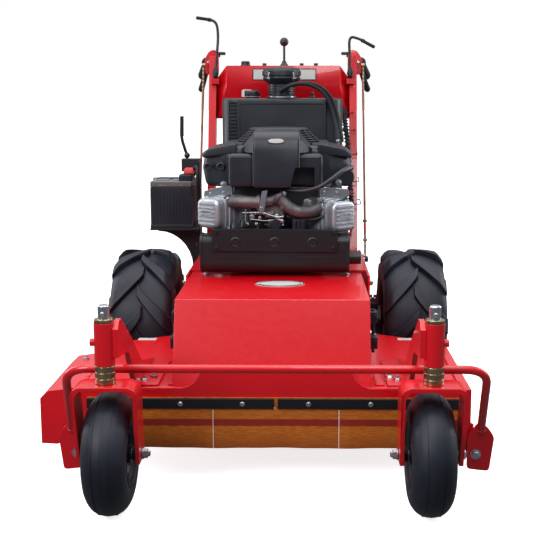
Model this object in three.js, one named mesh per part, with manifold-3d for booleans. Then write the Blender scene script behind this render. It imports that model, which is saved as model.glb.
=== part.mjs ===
// Walk-behind brush mower: a twin-blade deck on two swivelling casters, two driven wheels, a V-twin
// engine with a vertical shaft, and handles behind. Millimetres, +Z up. The machine faces -Y.
// "left" and "right" are those of the operator, who stands behind it: left is +X, right is -X.
// Positions are written from the middle of the drive axle's line on the ground, and the whole group is
// shifted at the end so that its origin is the middle of its base.
import * as THREE from 'three';
import { mergeVertices } from 'three/addons/utils/BufferGeometryUtils.js';
import { ConvexGeometry } from 'three/addons/geometries/ConvexGeometry.js';
import Module from 'manifold-3d';

const wasm = await Module();
wasm.setup();

// ---- Driving dimensions ----
const seat = 0.3;                 // gap left where one piece rests on another
const running = 0.4;              // radial gap of a shaft in its bore
const wheelbase = 1022;           // caster axle to drive axle

// Blades, their pulleys, and the belt cover and deck that enclose them.
const spindleSpacing = 410;
const bladeTipGap = 2;            // each blade's circle stops this short of the middle
const bladeRadius = spindleSpacing / 2 - bladeTipGap;
const bladeZ = 100;
const shaftRadius = 12.5;
const pulleyRadius = 35;
const crankPulleyRadius = 45;
const crankY = -170;
const beltZ = 300;                // middle height of the drive belt
const pulleyRoom = 5;             // pulley rim to the outside of the belt cover
const bladeRoom = 71;             // blade circle to the outside of the deck

// Casters.
const casterTyre = { radius: 140, width: 102, x: 3, track: 724, bore: 62 };
const casterTrail = 38;           // caster axle behind its kingpin
const casterRoom = 52.2;          // swivelling caster to the deck's front plate
const kingpinY = -wheelbase - casterTrail;
const casterSweep = Math.hypot(casterTyre.radius + casterTrail, casterTyre.width / 2);
const fork = { width: 148, depth: 76, plate: 10, top: 315, pinch: 3, bottom: 126 };
const kingpinRadius = 12;
const axleRadius = 10;
const spindleTube = { radius: 22.5, bottom: 357, top: 453 };

// Deck and apron. The deck hangs a little to the left of the casters' middle.
const driveTyreRadius = 228.5;
const deck = { x: 11, skirt: 60, top: 233, wall: 6, cornerCut: 115 };
deck.width = spindleSpacing + 2 * (bladeRadius + bladeRoom);
deck.front = kingpinY + casterSweep + casterRoom + 0.6;
deck.rear = -driveTyreRadius + 3.5;
deck.cornerRear = deck.rear - deck.cornerCut;
const spindleY = (deck.front + deck.rear) / 2;
const apronBottom = 84;
const apronTop = 186;             // where the belting leaves its clamping strip
const stripTop = 211;
const belting = 6;                // thickness of the apron belting
const cover = { top: 440, wall: 3, slope: 77 };
cover.width = spindleSpacing + 2 * (pulleyRadius + pulleyRoom);
cover.front = deck.front + deck.wall + 4;
cover.shoulder = cover.front + cover.slope;
cover.rear = deck.rear - 105;
const discharge = { front: deck.front + 42, rear: deck.rear - 195, top: 212 };

// Frame, driven wheels and what stands on the frame.
const coverRoom = 8.3;            // belt cover to the frame's side plates
const motorRoom = 64.7;           // frame's side plate to the driven tyre
const frame = { x: 6, wall: 6, front: -420, rear: 330, floor: 150, top: 446 };
frame.innerWidth = cover.width + 2 * coverRoom;
const driveTyre = { radius: driveTyreRadius, width: 200, bore: 112 };
driveTyre.track = frame.innerWidth + 2 * (frame.wall + motorRoom) + driveTyre.width;
deck.rearFlat = driveTyre.track - driveTyre.width - 68;
const engineTop = 687;            // seat of the cooling shroud
const tank = { x: 8.5, width: 391, front: 52, depth: 138, top: 939, corner: 55 };
const shelfTop = 636;
const upright = { width: 25, depth: 50, foot: 300, footY: 95, top: 1082, lean: 0.295 };
const battery = { x: -337.5, width: 131, front: -60, depth: 195, bottom: 534, top: 682 };

// ---- Small geometry helpers ----
const v3 = (x, y, z) => new THREE.Vector3(x, y, z);
const SIDES = [['left', 1], ['right', -1]];

function circle(cx, cy, radius, count = 20) {
  return Array.from({ length: count }, (_, i) => {
    const turn = (2 * Math.PI * (i + 0.5)) / count;
    return [cx + radius * Math.cos(turn), cy + radius * Math.sin(turn)];
  });
}

function outlineShape(outline, holes = []) {
  const shape = new THREE.Shape(outline.map(([a, b]) => new THREE.Vector2(a, b)));
  holes.forEach((hole) => shape.holes.push(new THREE.Path(hole.map(([a, b]) => new THREE.Vector2(a, b)))));
  return shape;
}

// Extrusions: an (x, y) outline along Z, a (y, z) outline along X, and an (x, z) outline along Y.
function slab(outline, holes, low, high, basis) {
  const geometry = new THREE.ExtrudeGeometry(outlineShape(outline, holes),
    { depth: high - low, bevelEnabled: false });
  geometry.applyMatrix4(basis);
  return geometry;
}
function slabZ(outline, z0, z1, holes = []) {
  return slab(outline, holes, z0, z1, new THREE.Matrix4().makeTranslation(0, 0, z0));
}
function slabX(outline, x0, x1, holes = []) {
  const basis = new THREE.Matrix4().makeBasis(v3(0, 1, 0), v3(0, 0, 1), v3(1, 0, 0)).setPosition(x0, 0, 0);
  return slab(outline, holes, x0, x1, basis);
}
function slabY(outline, y0, y1, holes = []) {
  const basis = new THREE.Matrix4().makeBasis(v3(1, 0, 0), v3(0, 0, 1), v3(0, -1, 0)).setPosition(0, y1, 0);
  return slab(outline, holes, y0, y1, basis);
}
function block(x0, x1, y0, y1, z0, z1) {
  const geometry = new THREE.BoxGeometry(Math.abs(x1 - x0), y1 - y0, z1 - z0);
  return geometry.translate((x0 + x1) / 2, (y0 + y1) / 2, (z0 + z1) / 2);
}

// A round bar from p to q.
function bar(p, q, radius, sides = 12, endRadius = radius) {
  const along = q.clone().sub(p);
  const geometry = new THREE.CylinderGeometry(endRadius, radius, along.length(), sides);
  geometry.applyQuaternion(new THREE.Quaternion().setFromUnitVectors(v3(0, 1, 0), along.clone().normalize()));
  return geometry.translate(...p.clone().add(q).multiplyScalar(0.5).toArray());
}

// A turned piece: profile points are (radius, distance along the axis). A facet faces straight down.
function turned(profile, axis, segments = 32) {
  const points = profile.map(([r, t]) => new THREE.Vector2(r, t));
  const geometry = new THREE.LatheGeometry(points, segments, Math.PI / segments);
  if (axis === 'x') geometry.rotateZ(-Math.PI / 2);
  if (axis === 'z') geometry.rotateX(Math.PI / 2);
  return geometry;
}

// A bent pipe through the points, with each corner rounded by a curve that starts `bend` before it.
function pipe(points, radius, bend, steps, sides = 10) {
  const path = new THREE.CurvePath();
  let from = points[0];
  for (let i = 1; i < points.length - 1; i += 1) {
    const before = points[i].clone().add(points[i - 1].clone().sub(points[i]).setLength(bend));
    const after = points[i].clone().add(points[i + 1].clone().sub(points[i]).setLength(bend));
    path.add(new THREE.LineCurve3(from, before));
    path.add(new THREE.QuadraticBezierCurve3(before, points[i], after));
    from = after;
  }
  path.add(new THREE.LineCurve3(from, points[points.length - 1]));
  return new THREE.ExtrudeGeometry(outlineShape(circle(0, 0, radius, sides)), { extrudePath: path, steps });
}

// Booleans. A geometry becomes a closed solid with shared corners, facing out.
function solidOf(geometry) {
  const bare = geometry.clone();
  bare.deleteAttribute('normal');
  bare.deleteAttribute('uv');
  const merged = mergeVertices(bare, 1e-3);
  const corners = Uint32Array.from(merged.index.array);
  const places = merged.attributes.position.array;
  const make = (triVerts) => new wasm.Manifold(new wasm.Mesh({ numProp: 3, vertProperties: places, triVerts }));
  const solid = make(corners);
  if (solid.volume() > 0) return solid;
  for (let i = 0; i < corners.length; i += 3) [corners[i], corners[i + 1]] = [corners[i + 1], corners[i]];
  return make(corners);
}
function geometryOf(solid) {
  const mesh = solid.getMesh();
  const geometry = new THREE.BufferGeometry();
  geometry.setAttribute('position', new THREE.BufferAttribute(new Float32Array(mesh.vertProperties), 3));
  geometry.setIndex(new THREE.BufferAttribute(new Uint32Array(mesh.triVerts), 1));
  return geometry;
}
const join = (...pieces) => geometryOf(pieces.map(solidOf).reduce((sum, piece) => sum.add(piece)));
const cut = (base, ...tools) => geometryOf(tools.map(solidOf).reduce((rest, tool) => rest.subtract(tool),
  solidOf(base)));

// The outline moved inwards by a wall's thickness. The outline is convex and runs anticlockwise.
function inset(outline, wall) {
  const count = outline.length;
  const edges = outline.map(([x, y], i) => {
    const [nextX, nextY] = outline[(i + 1) % count];
    const length = Math.hypot(nextX - x, nextY - y);
    const nx = -(nextY - y) / length;
    const ny = (nextX - x) / length;
    return { nx, ny, reach: nx * x + ny * y + wall };
  });
  return edges.map((edge, i) => {
    const last = edges[(i + count - 1) % count];
    const det = last.nx * edge.ny - last.ny * edge.nx;
    return [(last.reach * edge.ny - edge.reach * last.ny) / det,
      (last.nx * edge.reach - edge.nx * last.reach) / det];
  });
}

// ---- Finishes ----
const finish = (color, roughness, metalness) => new THREE.MeshStandardMaterial({ color, roughness, metalness });
const redPaint = finish(0xc8102e, 0.25, 0.3);
const blackPaint = finish(0x15171c, 0.4, 0.3);
const blackPlastic = finish(0x1e222a, 0.5, 0);
const tyreRubber = finish(0x22262e, 0.8, 0);
const hoseRubber = finish(0x1a1c20, 0.7, 0);
const orangeBelting = finish(0xc0641e, 0.7, 0);
const castAluminium = finish(0xb4b8bd, 0.4, 0.8);
const steel = finish(0x8c9096, 0.35, 1);
const zinc = finish(0xb9a36a, 0.35, 1);

const machine = new THREE.Group();
function add(parent, name, geometry, material) {
  const mesh = new THREE.Mesh(geometryOf(solidOf(geometry)), material);
  mesh.name = name;
  parent.add(mesh);
  return mesh;
}

// ---- Deck ----
const deckHalf = deck.width / 2;
const deckOutline = [
  [deck.x - deckHalf, deck.front], [deck.x + deckHalf, deck.front], [deck.x + deckHalf, deck.cornerRear],
  [deck.x + deck.rearFlat / 2, deck.rear], [deck.x - deck.rearFlat / 2, deck.rear],
  [deck.x - deckHalf, deck.cornerRear],
];
const rise = { half: 245, hollowWidth: 60, height: 50 };
const spindleX = (side) => (side * spindleSpacing) / 2;
const housing = { radius: 26, flange: 35.5, low: 152, high: 284, flangeThick: 10 };

function deckShell() {
  const outer = slabZ(deckOutline, deck.skirt, deck.top);
  const inner = slabZ(inset(deckOutline, deck.wall), deck.skirt - 10, deck.top - deck.wall);
  const openFront = block(deck.x - deckHalf + 14, deck.x + deckHalf - 14, deck.front - 5, deck.front + 10,
    deck.skirt - 10, apronTop);
  const rightWall = deck.x - deckHalf;
  const chuteMouth = block(rightWall - 5, rightWall + 15, discharge.front, discharge.rear,
    deck.skirt - 10, discharge.top);
  const spindleHoles = SIDES.map(([, side]) => slabZ(circle(spindleX(side), spindleY, housing.radius + 1),
    200, 250));
  const shell = cut(outer, inner, openFront, chuteMouth, ...spindleHoles);
  return join(shell, frontRise());
}

// The front plate rises in the middle, between two hollow shoulders.
function frontRise() {
  const { half, hollowWidth, height } = rise;
  const shoulder = Array.from({ length: 7 }, (_, i) => {
    const turn = (Math.PI / 2) * (i / 6);
    return [half - hollowWidth * Math.sin(turn), deck.top + height * (1 - Math.cos(turn))];
  });
  const right = shoulder.map(([x, z]) => [deck.x - x, z]).reverse();
  const left = shoulder.map(([x, z]) => [deck.x + x, z]);
  const low = deck.top - deck.wall / 2;
  const outline = [[deck.x - half, low], [deck.x + half, low], ...left, ...right];
  return slabY(outline, deck.front, deck.front + deck.wall);
}
add(machine, 'deck_shell', deckShell(), redPaint);

// A thin sheet cover with a sloping front, open below and behind, standing on the deck.
function beltCover() {
  const low = deck.top + seat;
  const outer = [[cover.front, low], [cover.rear, low], [cover.rear, cover.top], [cover.shoulder, cover.top]];
  const thin = cover.wall;
  const inner = [[cover.front + thin, low - 5], [cover.rear + 5, low - 5], [cover.rear + 5, cover.top - thin],
    [cover.shoulder + thin, cover.top - thin]];
  const half = cover.width / 2;
  return cut(slabX(outer, -half, half), slabX(inner, -half + thin, half - thin));
}
add(machine, 'belt_cover', beltCover(), redPaint);

// Clamping strips across the front, each over a layer of belting, with three apron panels hanging below.
const stripFront = deck.front - 10;
for (const [word, side] of SIDES) {
  const reach = [deck.x + side * 4.5, deck.x + side * (deckHalf - 14)];
  add(machine, `${word}_apron_strip`, block(Math.min(...reach), Math.max(...reach), stripFront,
    deck.front - seat, apronTop, stripTop), blackPaint);
}
const apronHinge = { y: deck.front - 3.3, z: apronTop - 0.5 - belting / 2 };
function apronPanel(x0, x1) {
  const half = belting / 2;
  const top = Array.from({ length: 7 }, (_, i) => {
    const turn = (Math.PI * i) / 6;
    return [apronHinge.y + half * Math.cos(turn), apronHinge.z + half * Math.sin(turn)];
  });
  return slabX([[apronHinge.y - half, apronBottom], [apronHinge.y + half, apronBottom], ...top], x0, x1);
}
const apronSlit = 155;
const apronEnd = deckHalf - 16;
const apronPanels = {
  right_apron: [deck.x - apronEnd, deck.x - apronSlit - 0.5],
  centre_apron: [deck.x - apronSlit + 0.5, deck.x + apronSlit - 0.5],
  left_apron: [deck.x + apronSlit + 0.5, deck.x + apronEnd],
};
for (const [name, [x0, x1]] of Object.entries(apronPanels)) add(machine, name, apronPanel(x0, x1),
  orangeBelting);

// The discharge deflector: a roof and two cheeks, hinged along the top of the deck's right wall.
const rollRadius = 6;
const deflectorHinge = { x: deck.x - deckHalf - rollRadius - seat, z: 226 };
function dischargeDeflector() {
  const outX = deck.x - deckHalf - 114;
  const inX = deflectorHinge.x;
  const roof = slabY([[inX, 222], [inX, 226], [outX + 20, 214], [outX, 195], [outX, 191], [outX + 20, 210]],
    discharge.front, discharge.rear);
  const cheek = [[inX, 100], [inX, 224], [outX + 20, 212], [outX, 193], [outX, 78], [outX + 40, 76]];
  const cheeks = [discharge.front, discharge.rear - 4].map((y) => slabY(cheek, y, y + 4));
  const roll = bar(v3(inX, discharge.front, deflectorHinge.z), v3(inX, discharge.rear, deflectorHinge.z),
    rollRadius);
  return join(roof, ...cheeks, roll);
}
add(machine, 'discharge_deflector', dischargeDeflector(), redPaint);

// ---- Blades, spindles and belt ----
for (const [word, side] of SIDES) {
  const group = new THREE.Group();
  group.position.set(spindleX(side), spindleY, 0);
  machine.add(group);
  add(group, `${word}_spindle_housing`, spindleHousing(), castAluminium);
  add(group, `${word}_blade_spindle`, bladeSpindle(), steel);
  add(group, `${word}_blade`, blade(), steel);
}
function spindleHousing() {
  const bore = shaftRadius + running;
  const foot = deck.top + seat;
  const { radius, flange, low, high, flangeThick } = housing;
  return turned([[bore, low], [bore, high], [radius, high], [radius, foot + flangeThick],
    [flange, foot + flangeThick],
    [flange, foot], [radius, foot], [radius, low + 18], [20, low], [bore, low]], 'z', 20);
}
function bladeSpindle() {
  const low = bladeZ - 3 - seat;
  const high = bladeZ + 3 + seat;
  const groove = pulleyRadius - 8;
  return turned([[0, low - 11], [18, low - 11], [18, low], [shaftRadius, low], [shaftRadius, high], [22, high],
    [22, housing.low - 1], [shaftRadius, housing.low - 1], [shaftRadius, beltZ - 10],
    [pulleyRadius, beltZ - 10], [groove, beltZ - 6],
    [groove, beltZ + 6], [pulleyRadius, beltZ + 10], [0, beltZ + 10]], 'z', 20);
}
// A flat bar with raised sails behind its cutting ends.
function blade() {
  const half = 32;
  const flat = slabZ([[-bladeRadius, -half], [bladeRadius - 26, -half], [bladeRadius, -half + 22],
    [bladeRadius, half],
    [-bladeRadius + 26, half], [-bladeRadius, half - 22]], bladeZ - 3, bladeZ + 3,
    [circle(0, 0, shaftRadius + running, 16)]);
  const sail = (turn) => {
    const lift = slabX([[half - 6, bladeZ - 3], [half, bladeZ - 3], [half + 16, bladeZ + 18],
      [half + 11, bladeZ + 18],
      [half - 6, bladeZ + 3]], bladeRadius - 110, bladeRadius - 34);
    return lift.rotateZ(turn);
  };
  return join(flat, sail(0), sail(Math.PI));
}

function crankPulley() {
  const groove = crankPulleyRadius - 8;
  return turned([[0, beltZ - 16], [20, beltZ - 16], [20, beltZ - 10], [crankPulleyRadius, beltZ - 10],
    [groove, beltZ - 6],
    [groove, beltZ + 6], [crankPulleyRadius, beltZ + 10], [20, beltZ + 10], [shaftRadius, beltZ + 12],
    [shaftRadius, frame.top], [0, frame.top]], 'z', 20).translate(0, crankY, 0);
}
add(machine, 'crank_pulley', crankPulley(), steel);

// The belt runs round the two spindle pulleys and the crank pulley.
function beltLoop(clear) {
  const rounds = [[0, crankY, crankPulleyRadius - 8],
    ...[-1, 1].map((side) => [spindleX(side), spindleY, pulleyRadius - 8])];
  const loop = [];
  rounds.forEach(([x, y, radius], i) => {
    const leave = (from, to) => {
      const along = Math.atan2(to[1] - from[1], to[0] - from[0]);
      return along - Math.acos((from[2] - to[2]) / Math.hypot(to[0] - from[0], to[1] - from[1]));
    };
    const before = rounds[(i + 2) % 3];
    const after = rounds[(i + 1) % 3];
    const start = leave(before, [x, y, radius]);
    let end = leave([x, y, radius], after);
    while (end < start) end += 2 * Math.PI;
    for (let k = 0; k <= 6; k += 1) {
      const turn = start + ((end - start) * k) / 6;
      loop.push([x + (radius + clear) * Math.cos(turn), y + (radius + clear) * Math.sin(turn)]);
    }
  });
  return loop;
}
const beltGap = 0.8;              // covers the facets of the pulleys and of the belt
add(machine, 'deck_belt', slabZ(beltLoop(9), beltZ - 5.5, beltZ + 5.5, [beltLoop(beltGap)]), hoseRubber);

// ---- Front bumper ----
const bumper = { x: 16, halfWidth: 483, radius: 10, y: kingpinY + 78, z: fork.top + 12.5, footZ: 135 };
function frontBumper() {
  const footY = deck.front - 10;
  const ends = SIDES.map(([, side]) => [v3(bumper.x + side * bumper.halfWidth, bumper.y, bumper.z),
    v3(deck.x + side * (deckHalf + 24), footY, bumper.footZ)]);
  const tube = pipe([ends[1][1], ends[1][0], ends[0][0], ends[0][1]], bumper.radius, 38, 30, 8);
  const plates = SIDES.map(([, side]) => {
    const at = (reach) => deck.x + side * reach;
    const face = slabY([[at(deckHalf - 9), 36], [at(deckHalf + 46), 30], [at(deckHalf + 57), 118],
      [at(deckHalf + 40), 143],
      [at(deckHalf + 18), 156], [at(deckHalf - 9), 120]], footY - 4, footY + 3.5);
    const reach = [at(deckHalf + seat), at(deckHalf + deck.wall)];
    const rear = discharge.front - 6;
    const flange = slabX([[footY, 50], [rear, 60], [rear, 140], [footY, 150]], Math.min(...reach),
      Math.max(...reach));
    return [face, flange];
  });
  return join(tube, ...plates.flat());
}
add(machine, 'front_bumper', frontBumper(), redPaint);

// ---- Casters ----
const armPlate = 12;
const armWidth = 58;              // the foot of the arm on the deck, measured inwards from the tube
const armReach = 500;             // kingpin to the rear end of the arm's foot
function casterArm(side) {
  const { radius, bottom, top } = spindleTube;
  const bore = kingpinRadius + running;
  const tube = turned([[bore, bottom], [radius, bottom], [radius, top], [bore, top], [bore, bottom]], 'z', 24);
  const inner = -side * (radius - 2);
  const foot = deck.top + seat;
  const fromKing = (y) => y - kingpinY;
  const outline = [[-12, bottom + 19], [-12, top - 14], [8, top + 2], [33, top + 2], [160, top - 71],
    [300, foot + 57], [armReach, foot + 12], [armReach, foot], [fromKing(deck.front + 10), foot],
    [192, foot + 39], [125, bottom - 6], [95, bottom + 5]];
  const web = slabX(outline, Math.min(inner, inner - side * armPlate),
    Math.max(inner, inner - side * armPlate));
  const base = block(inner, inner - side * armWidth, fromKing(deck.front + 10), armReach, foot, foot + 8);
  const lug = bar(v3(side * (radius - 3), 0, 408), v3(side * (radius + 9), 0, 408), 9, 10);
  const tubeHole = turned([[0, bottom - 9], [radius - 4, bottom - 9], [radius - 4, top + 9], [0, top + 9]],
    'z', 24);
  const bored = cut(join(web, lug, base), tubeHole);
  return join(tube, bored);
}
function casterFork() {
  const half = fork.width / 2;
  const deep = fork.depth / 2;
  const { plate, pinch, top, bottom: low } = fork;
  const arch = [[half, top - 20], [half - 7, top - 6], [half - 20, top], [-half + 20, top],
    [-half + 7, top - 6], [-half, top - 20],
    [-half + pinch, low], [-half + pinch + plate, low], [-half + plate, top - 26],
    [-half + plate + 12, top - plate],
    [half - plate - 12, top - plate], [half - plate, top - 26], [half - pinch - plate, low],
    [half - pinch, low]];
  // The legs lean back, from under the kingpin to the axle.
  const frameShape = slabY(arch, -deep, deep);
  const position = frameShape.attributes.position;
  for (let i = 0; i < position.count; i += 1) {
    const drop = Math.min(1, Math.max(0, (top - 26 - position.getZ(i)) / (top - 26 - low)));
    position.setY(i, position.getY(i) + casterTrail * drop);
  }
  const washer = { radius: spindleTube.radius - 1, low: spindleTube.top + seat, high: spindleTube.top + 9 };
  const stub = { radius: kingpinRadius + 1, high: washer.high + 30 };
  const pin = turned([[0, top - 4], [kingpinRadius, top - 4], [kingpinRadius, washer.low],
    [washer.radius, washer.low], [washer.radius, washer.high], [stub.radius, washer.high],
    [stub.radius, stub.high], [0, stub.high]], 'z', 16);
  const axleEnd = (x) => v3(x, casterTrail, casterTyre.radius);
  const axleHole = bar(axleEnd(-half - 5), axleEnd(half + 5), axleRadius + running, 16);
  return cut(join(frameShape, pin), axleHole);
}
const forkInside = fork.width / 2 - fork.plate - fork.pinch;
const forkOutside = fork.width / 2 - fork.pinch + 1;
const hubHalf = casterTyre.width / 2 - 4;
function casterAxle(side) {
  const head = [[axleRadius, forkOutside], [15, forkOutside + 0.5], [15, forkOutside + 9],
    [0, forkOutside + 9]];
  const profile = [[0, -forkOutside - 16], [13, -forkOutside - 16], [15, -forkOutside - 12],
    [15, -forkOutside - 0.5],
    [axleRadius, -forkOutside], [axleRadius, -forkInside + 0.6], [17, -forkInside + 0.6],
    [17, -hubHalf - seat], [axleRadius, -hubHalf - seat],
    [axleRadius, hubHalf + seat], [17, hubHalf + seat], [17, forkInside - 0.6],
    [axleRadius, forkInside - 0.6], ...head];
  return turned(profile.map(([r, t]) => [r, side * t]), 'x', 12);
}
function casterTyreRing() {
  const { radius, width, bore } = casterTyre;
  const w = width / 2;
  const facet = 1 / Math.cos(Math.PI / 32);
  const profile = [[bore, -w + 14], [radius - 55, -w], [radius - 30, -w + 2], [radius - 9, -w + 16],
    [radius, -w + 36],
    [radius, w - 36], [radius - 9, w - 16], [radius - 30, w - 2], [radius - 55, w], [bore, w - 14],
    [bore, -w + 14]];
  return turned(profile.map(([r, t]) => [r * facet, t]), 'x', 32);
}
function casterRim() {
  const rim = casterTyre.bore - seat;
  const w = casterTyre.width / 2 - 14;
  const bore = axleRadius + running;
  return turned([[bore, -hubHalf], [22, -hubHalf], [22, -10], [rim - 12, -10], [rim - 6, -w], [rim, -w],
    [rim, w], [rim - 6, w], [rim - 12, 10],
    [22, 10], [22, hubHalf], [bore, hubHalf], [bore, -hubHalf]], 'x', 24);
}
function casterSpacers() {
  const bore = kingpinRadius + running;
  const low = fork.top + seat;
  const high = spindleTube.bottom - seat;
  const ring = (high - low) / 3;
  const profile = [[bore, low], [spindleTube.radius - 2, low]];
  for (let i = 0; i < 3; i += 1) {
    const z = low + i * ring;
    profile.push([spindleTube.radius, z + 2], [spindleTube.radius, z + ring - 2]);
    if (i < 2) profile.push([spindleTube.radius - 2, z + ring]);
  }
  return turned([...profile, [spindleTube.radius - 2, high], [bore, high], [bore, low]], 'z', 16);
}
for (const [word, side] of SIDES) {
  const swivel = new THREE.Group();
  swivel.position.set(casterTyre.x + (side * casterTyre.track) / 2, kingpinY, 0);
  const wheel = new THREE.Group();
  wheel.position.set(0, casterTrail, casterTyre.radius);
  swivel.add(wheel);
  machine.add(swivel);
  add(swivel, `${word}_caster_arm`, casterArm(side), redPaint);
  add(swivel, `${word}_caster_fork`, casterFork(), redPaint);
  add(swivel, `${word}_caster_spacers`, casterSpacers(), zinc);
  add(wheel, `${word}_caster_axle`, casterAxle(side), steel);
  add(wheel, `${word}_caster_tyre`, casterTyreRing(), tyreRubber);
  add(wheel, `${word}_caster_rim`, casterRim(), steel);
}

// ---- Main frame and driven wheels ----
const frameHalf = frame.innerWidth / 2;
const plateTop = frame.top - 10;
const crankHole = 34;             // radius of the hole for the crankshaft in the engine's plate
const axleHeight = driveTyre.radius;
function mainFrame() {
  const low = deck.top + seat;
  const window = [[-60, 330], [60, 330], [30, 400], [-60, 400]];
  const side = [[frame.front, low], [deck.rear + 4, low], [deck.rear + 35, frame.floor],
    [frame.rear - 30, frame.floor], [frame.rear, 200], [frame.rear, 330], [90, frame.top],
    [frame.front, frame.top]];
  const sides = SIDES.map(([, s]) => {
    const reach = [frame.x + s * frameHalf, frame.x + s * (frameHalf + frame.wall)];
    return slabX(side, Math.min(...reach), Math.max(...reach), [window]);
  });
  const across = [frame.x - frameHalf - 1, frame.x + frameHalf + 1];
  const plateEdge = { front: cover.rear + 5, rear: 60 };
  const plateOutline = [[across[0], plateEdge.front], [across[1], plateEdge.front],
    [across[1], plateEdge.rear], [across[0], plateEdge.rear]];
  const enginePlate = slabZ(plateOutline, plateTop, frame.top, [circle(0, crankY, crankHole, 24)]);
  const rearPlate = block(...across, frame.rear - 30, frame.rear - 24, 165, 330);
  const crossTube = (y, z, radius) => bar(v3(across[0], y, z), v3(across[1], y, z), radius, 14);
  return join(...sides, enginePlate, rearPlate, crossTube(0, axleHeight, 20), crossTube(-150, 180, 14));
}
add(machine, 'main_frame', mainFrame(), redPaint);

const motorFace = frameHalf + frame.wall + seat;
const hubRadius = 18;
for (const [word, side] of SIDES) {
  const wheel = new THREE.Group();
  wheel.position.set((side * driveTyre.track) / 2, 0, axleHeight);
  machine.add(wheel);
  // Distances from the wheel's middle plane, positive outwards.
  const faceAt = side * frame.x + motorFace - driveTyre.track / 2;
  const out = (profile) => profile.map(([r, t]) => [r, side * t]);
  const motor = [[0, faceAt], [60, faceAt], [60, faceAt + 12], [46, faceAt + 14], [46, faceAt + 62],
    [30, faceAt + 68], [20, faceAt + 68], [hubRadius, -6], [0, -6]];
  add(wheel, `${word}_wheel_motor`, turned(out(motor), 'x', 16), blackPaint);
  add(wheel, `${word}_drive_rim`, turned(out(driveRimProfile()), 'x', 24), steel);
  add(wheel, `${word}_drive_tyre`, turned(out(driveTyreProfile()), 'x', 32), tyreRubber);
}
function driveRimProfile() {
  const rim = driveTyre.bore - seat;
  const w = driveTyre.width / 2 - 22;
  const bore = hubRadius + running + 0.6;
  return [[0, 2], [bore, 2], [bore, -26], [32, -26], [32, -6], [rim - 14, -6], [rim - 10, -w], [rim, -w],
    [rim, w], [rim - 10, w],
    [rim - 14, 6], [40, 6], [32, 26], [0, 26]];
}
function driveTyreProfile() {
  const { radius, width, bore } = driveTyre;
  const w = width / 2;
  const facet = 1 / Math.cos(Math.PI / 32);
  const profile = [[bore, -w + 24], [bore + 38, -w + 4], [radius - 55, -w], [radius - 20, -w + 5],
    [radius, -w + 32],
    [radius, w - 32], [radius - 20, w - 5], [radius - 55, w], [bore + 38, w - 4], [bore, w - 24],
    [bore, -w + 24]];
  return profile.map(([r, t]) => [r * facet, t]);
}

// ---- Engine ----
const blockFront = crankY - 155;
const blockRear = crankY + 155;
// The crankcase and the block above it, grown by a margin where the cylinders are cut to fit them.
function engineBlock(margin = 0) {
  const base = block(-135 - margin, 135 + margin, blockFront, blockRear, frame.top + seat, 560 + margin);
  const half = [[90, blockRear - 5 + margin], [150, blockRear - 45 + margin], [150, blockFront + 110 - margin],
    [80, blockFront + 25 - margin]].map(([x, y]) => [x + margin, y]);
  const upper = slabZ([...half, ...half.map(([x, y]) => [-x, y]).reverse()], 540, engineTop - seat);
  return join(base, upper);
}
add(machine, 'engine_block', engineBlock(), blackPaint);

// Each cylinder points forwards and outwards, with cooling fins, a head and a ribbed valve cover.
const bankAngle = 42 * (Math.PI / 180);
const cylinderZ = { left: 609, right: 617 };
function cylinder(word, side) {
  const centre = cylinderZ[word];
  const finPitch = 9;
  const pieces = [block(-42, 42, -205, -132, centre - 42, centre + 42)];
  for (let i = 0; i < 5; i += 1) {
    pieces.push(block(-56, 56, -172 - i * finPitch, -168 - i * finPitch, centre - 50, centre + 50));
  }
  pieces.push(block(-52, 52, -252, -204, centre - 48, centre + 48));
  const dome = (half, tall) => circle(0, centre, 1, 24).map(([x, z]) => {
    const reach = (v) => Math.sign(v) * Math.abs(v) ** 0.5;
    return [half * reach(x), centre + tall * reach(z - centre)];
  });
  pieces.push(slabY(dome(50, 50), -262, -250), slabY(dome(45, 45), -294, -260));
  const turnedPieces = pieces.map((piece) => piece.rotateZ(side * bankAngle).translate(0, crankY, 0));
  return join(...turnedPieces);
}
for (const [word, side] of SIDES) {
  add(machine, `${word}_cylinder`, cut(cylinder(word, side), engineBlock(seat)), castAluminium);
}

// The intake manifold crosses from one head to the other, over the throttle body.
function intakeManifold() {
  const ear = (side) => {
    const along = v3(side * Math.sin(bankAngle), -Math.cos(bankAngle), 0);
    const across = v3(-side * Math.cos(bankAngle), -Math.sin(bankAngle), 0);
    return along.multiplyScalar(228).addScaledVector(across, 52 + seat).add(v3(0, crankY, cylinderZ.left + 31));
  };
  const [left, right] = [ear(1), ear(-1)];
  const outwards = (side) => v3(-side * Math.cos(bankAngle), -Math.sin(bankAngle), 0);
  const lead = (side, at) => at.clone().addScaledVector(outwards(side), 30);
  const middleRun = [[48, -79, 626], [8, -77, 650], [-40, -77, 652]].map(([x, y, z]) => v3(x, blockFront + y,
    z));
  const runner = pipe([left, lead(1, left), ...middleRun, lead(-1, right), right], 14, 12, 20, 8);
  const throttle = block(-30, 26, blockFront - 79, blockFront + 3, 600, 656);
  const bowl = block(-22, 18, blockFront - 63, blockFront - 10, 572, 604);
  const neck = block(-20, 16, blockFront - 5, blockFront + 35, 612, 646);
  return join(runner, throttle, bowl, neck);
}
add(machine, 'intake_manifold', cut(intakeManifold(), engineBlock(seat)), castAluminium);

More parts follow.
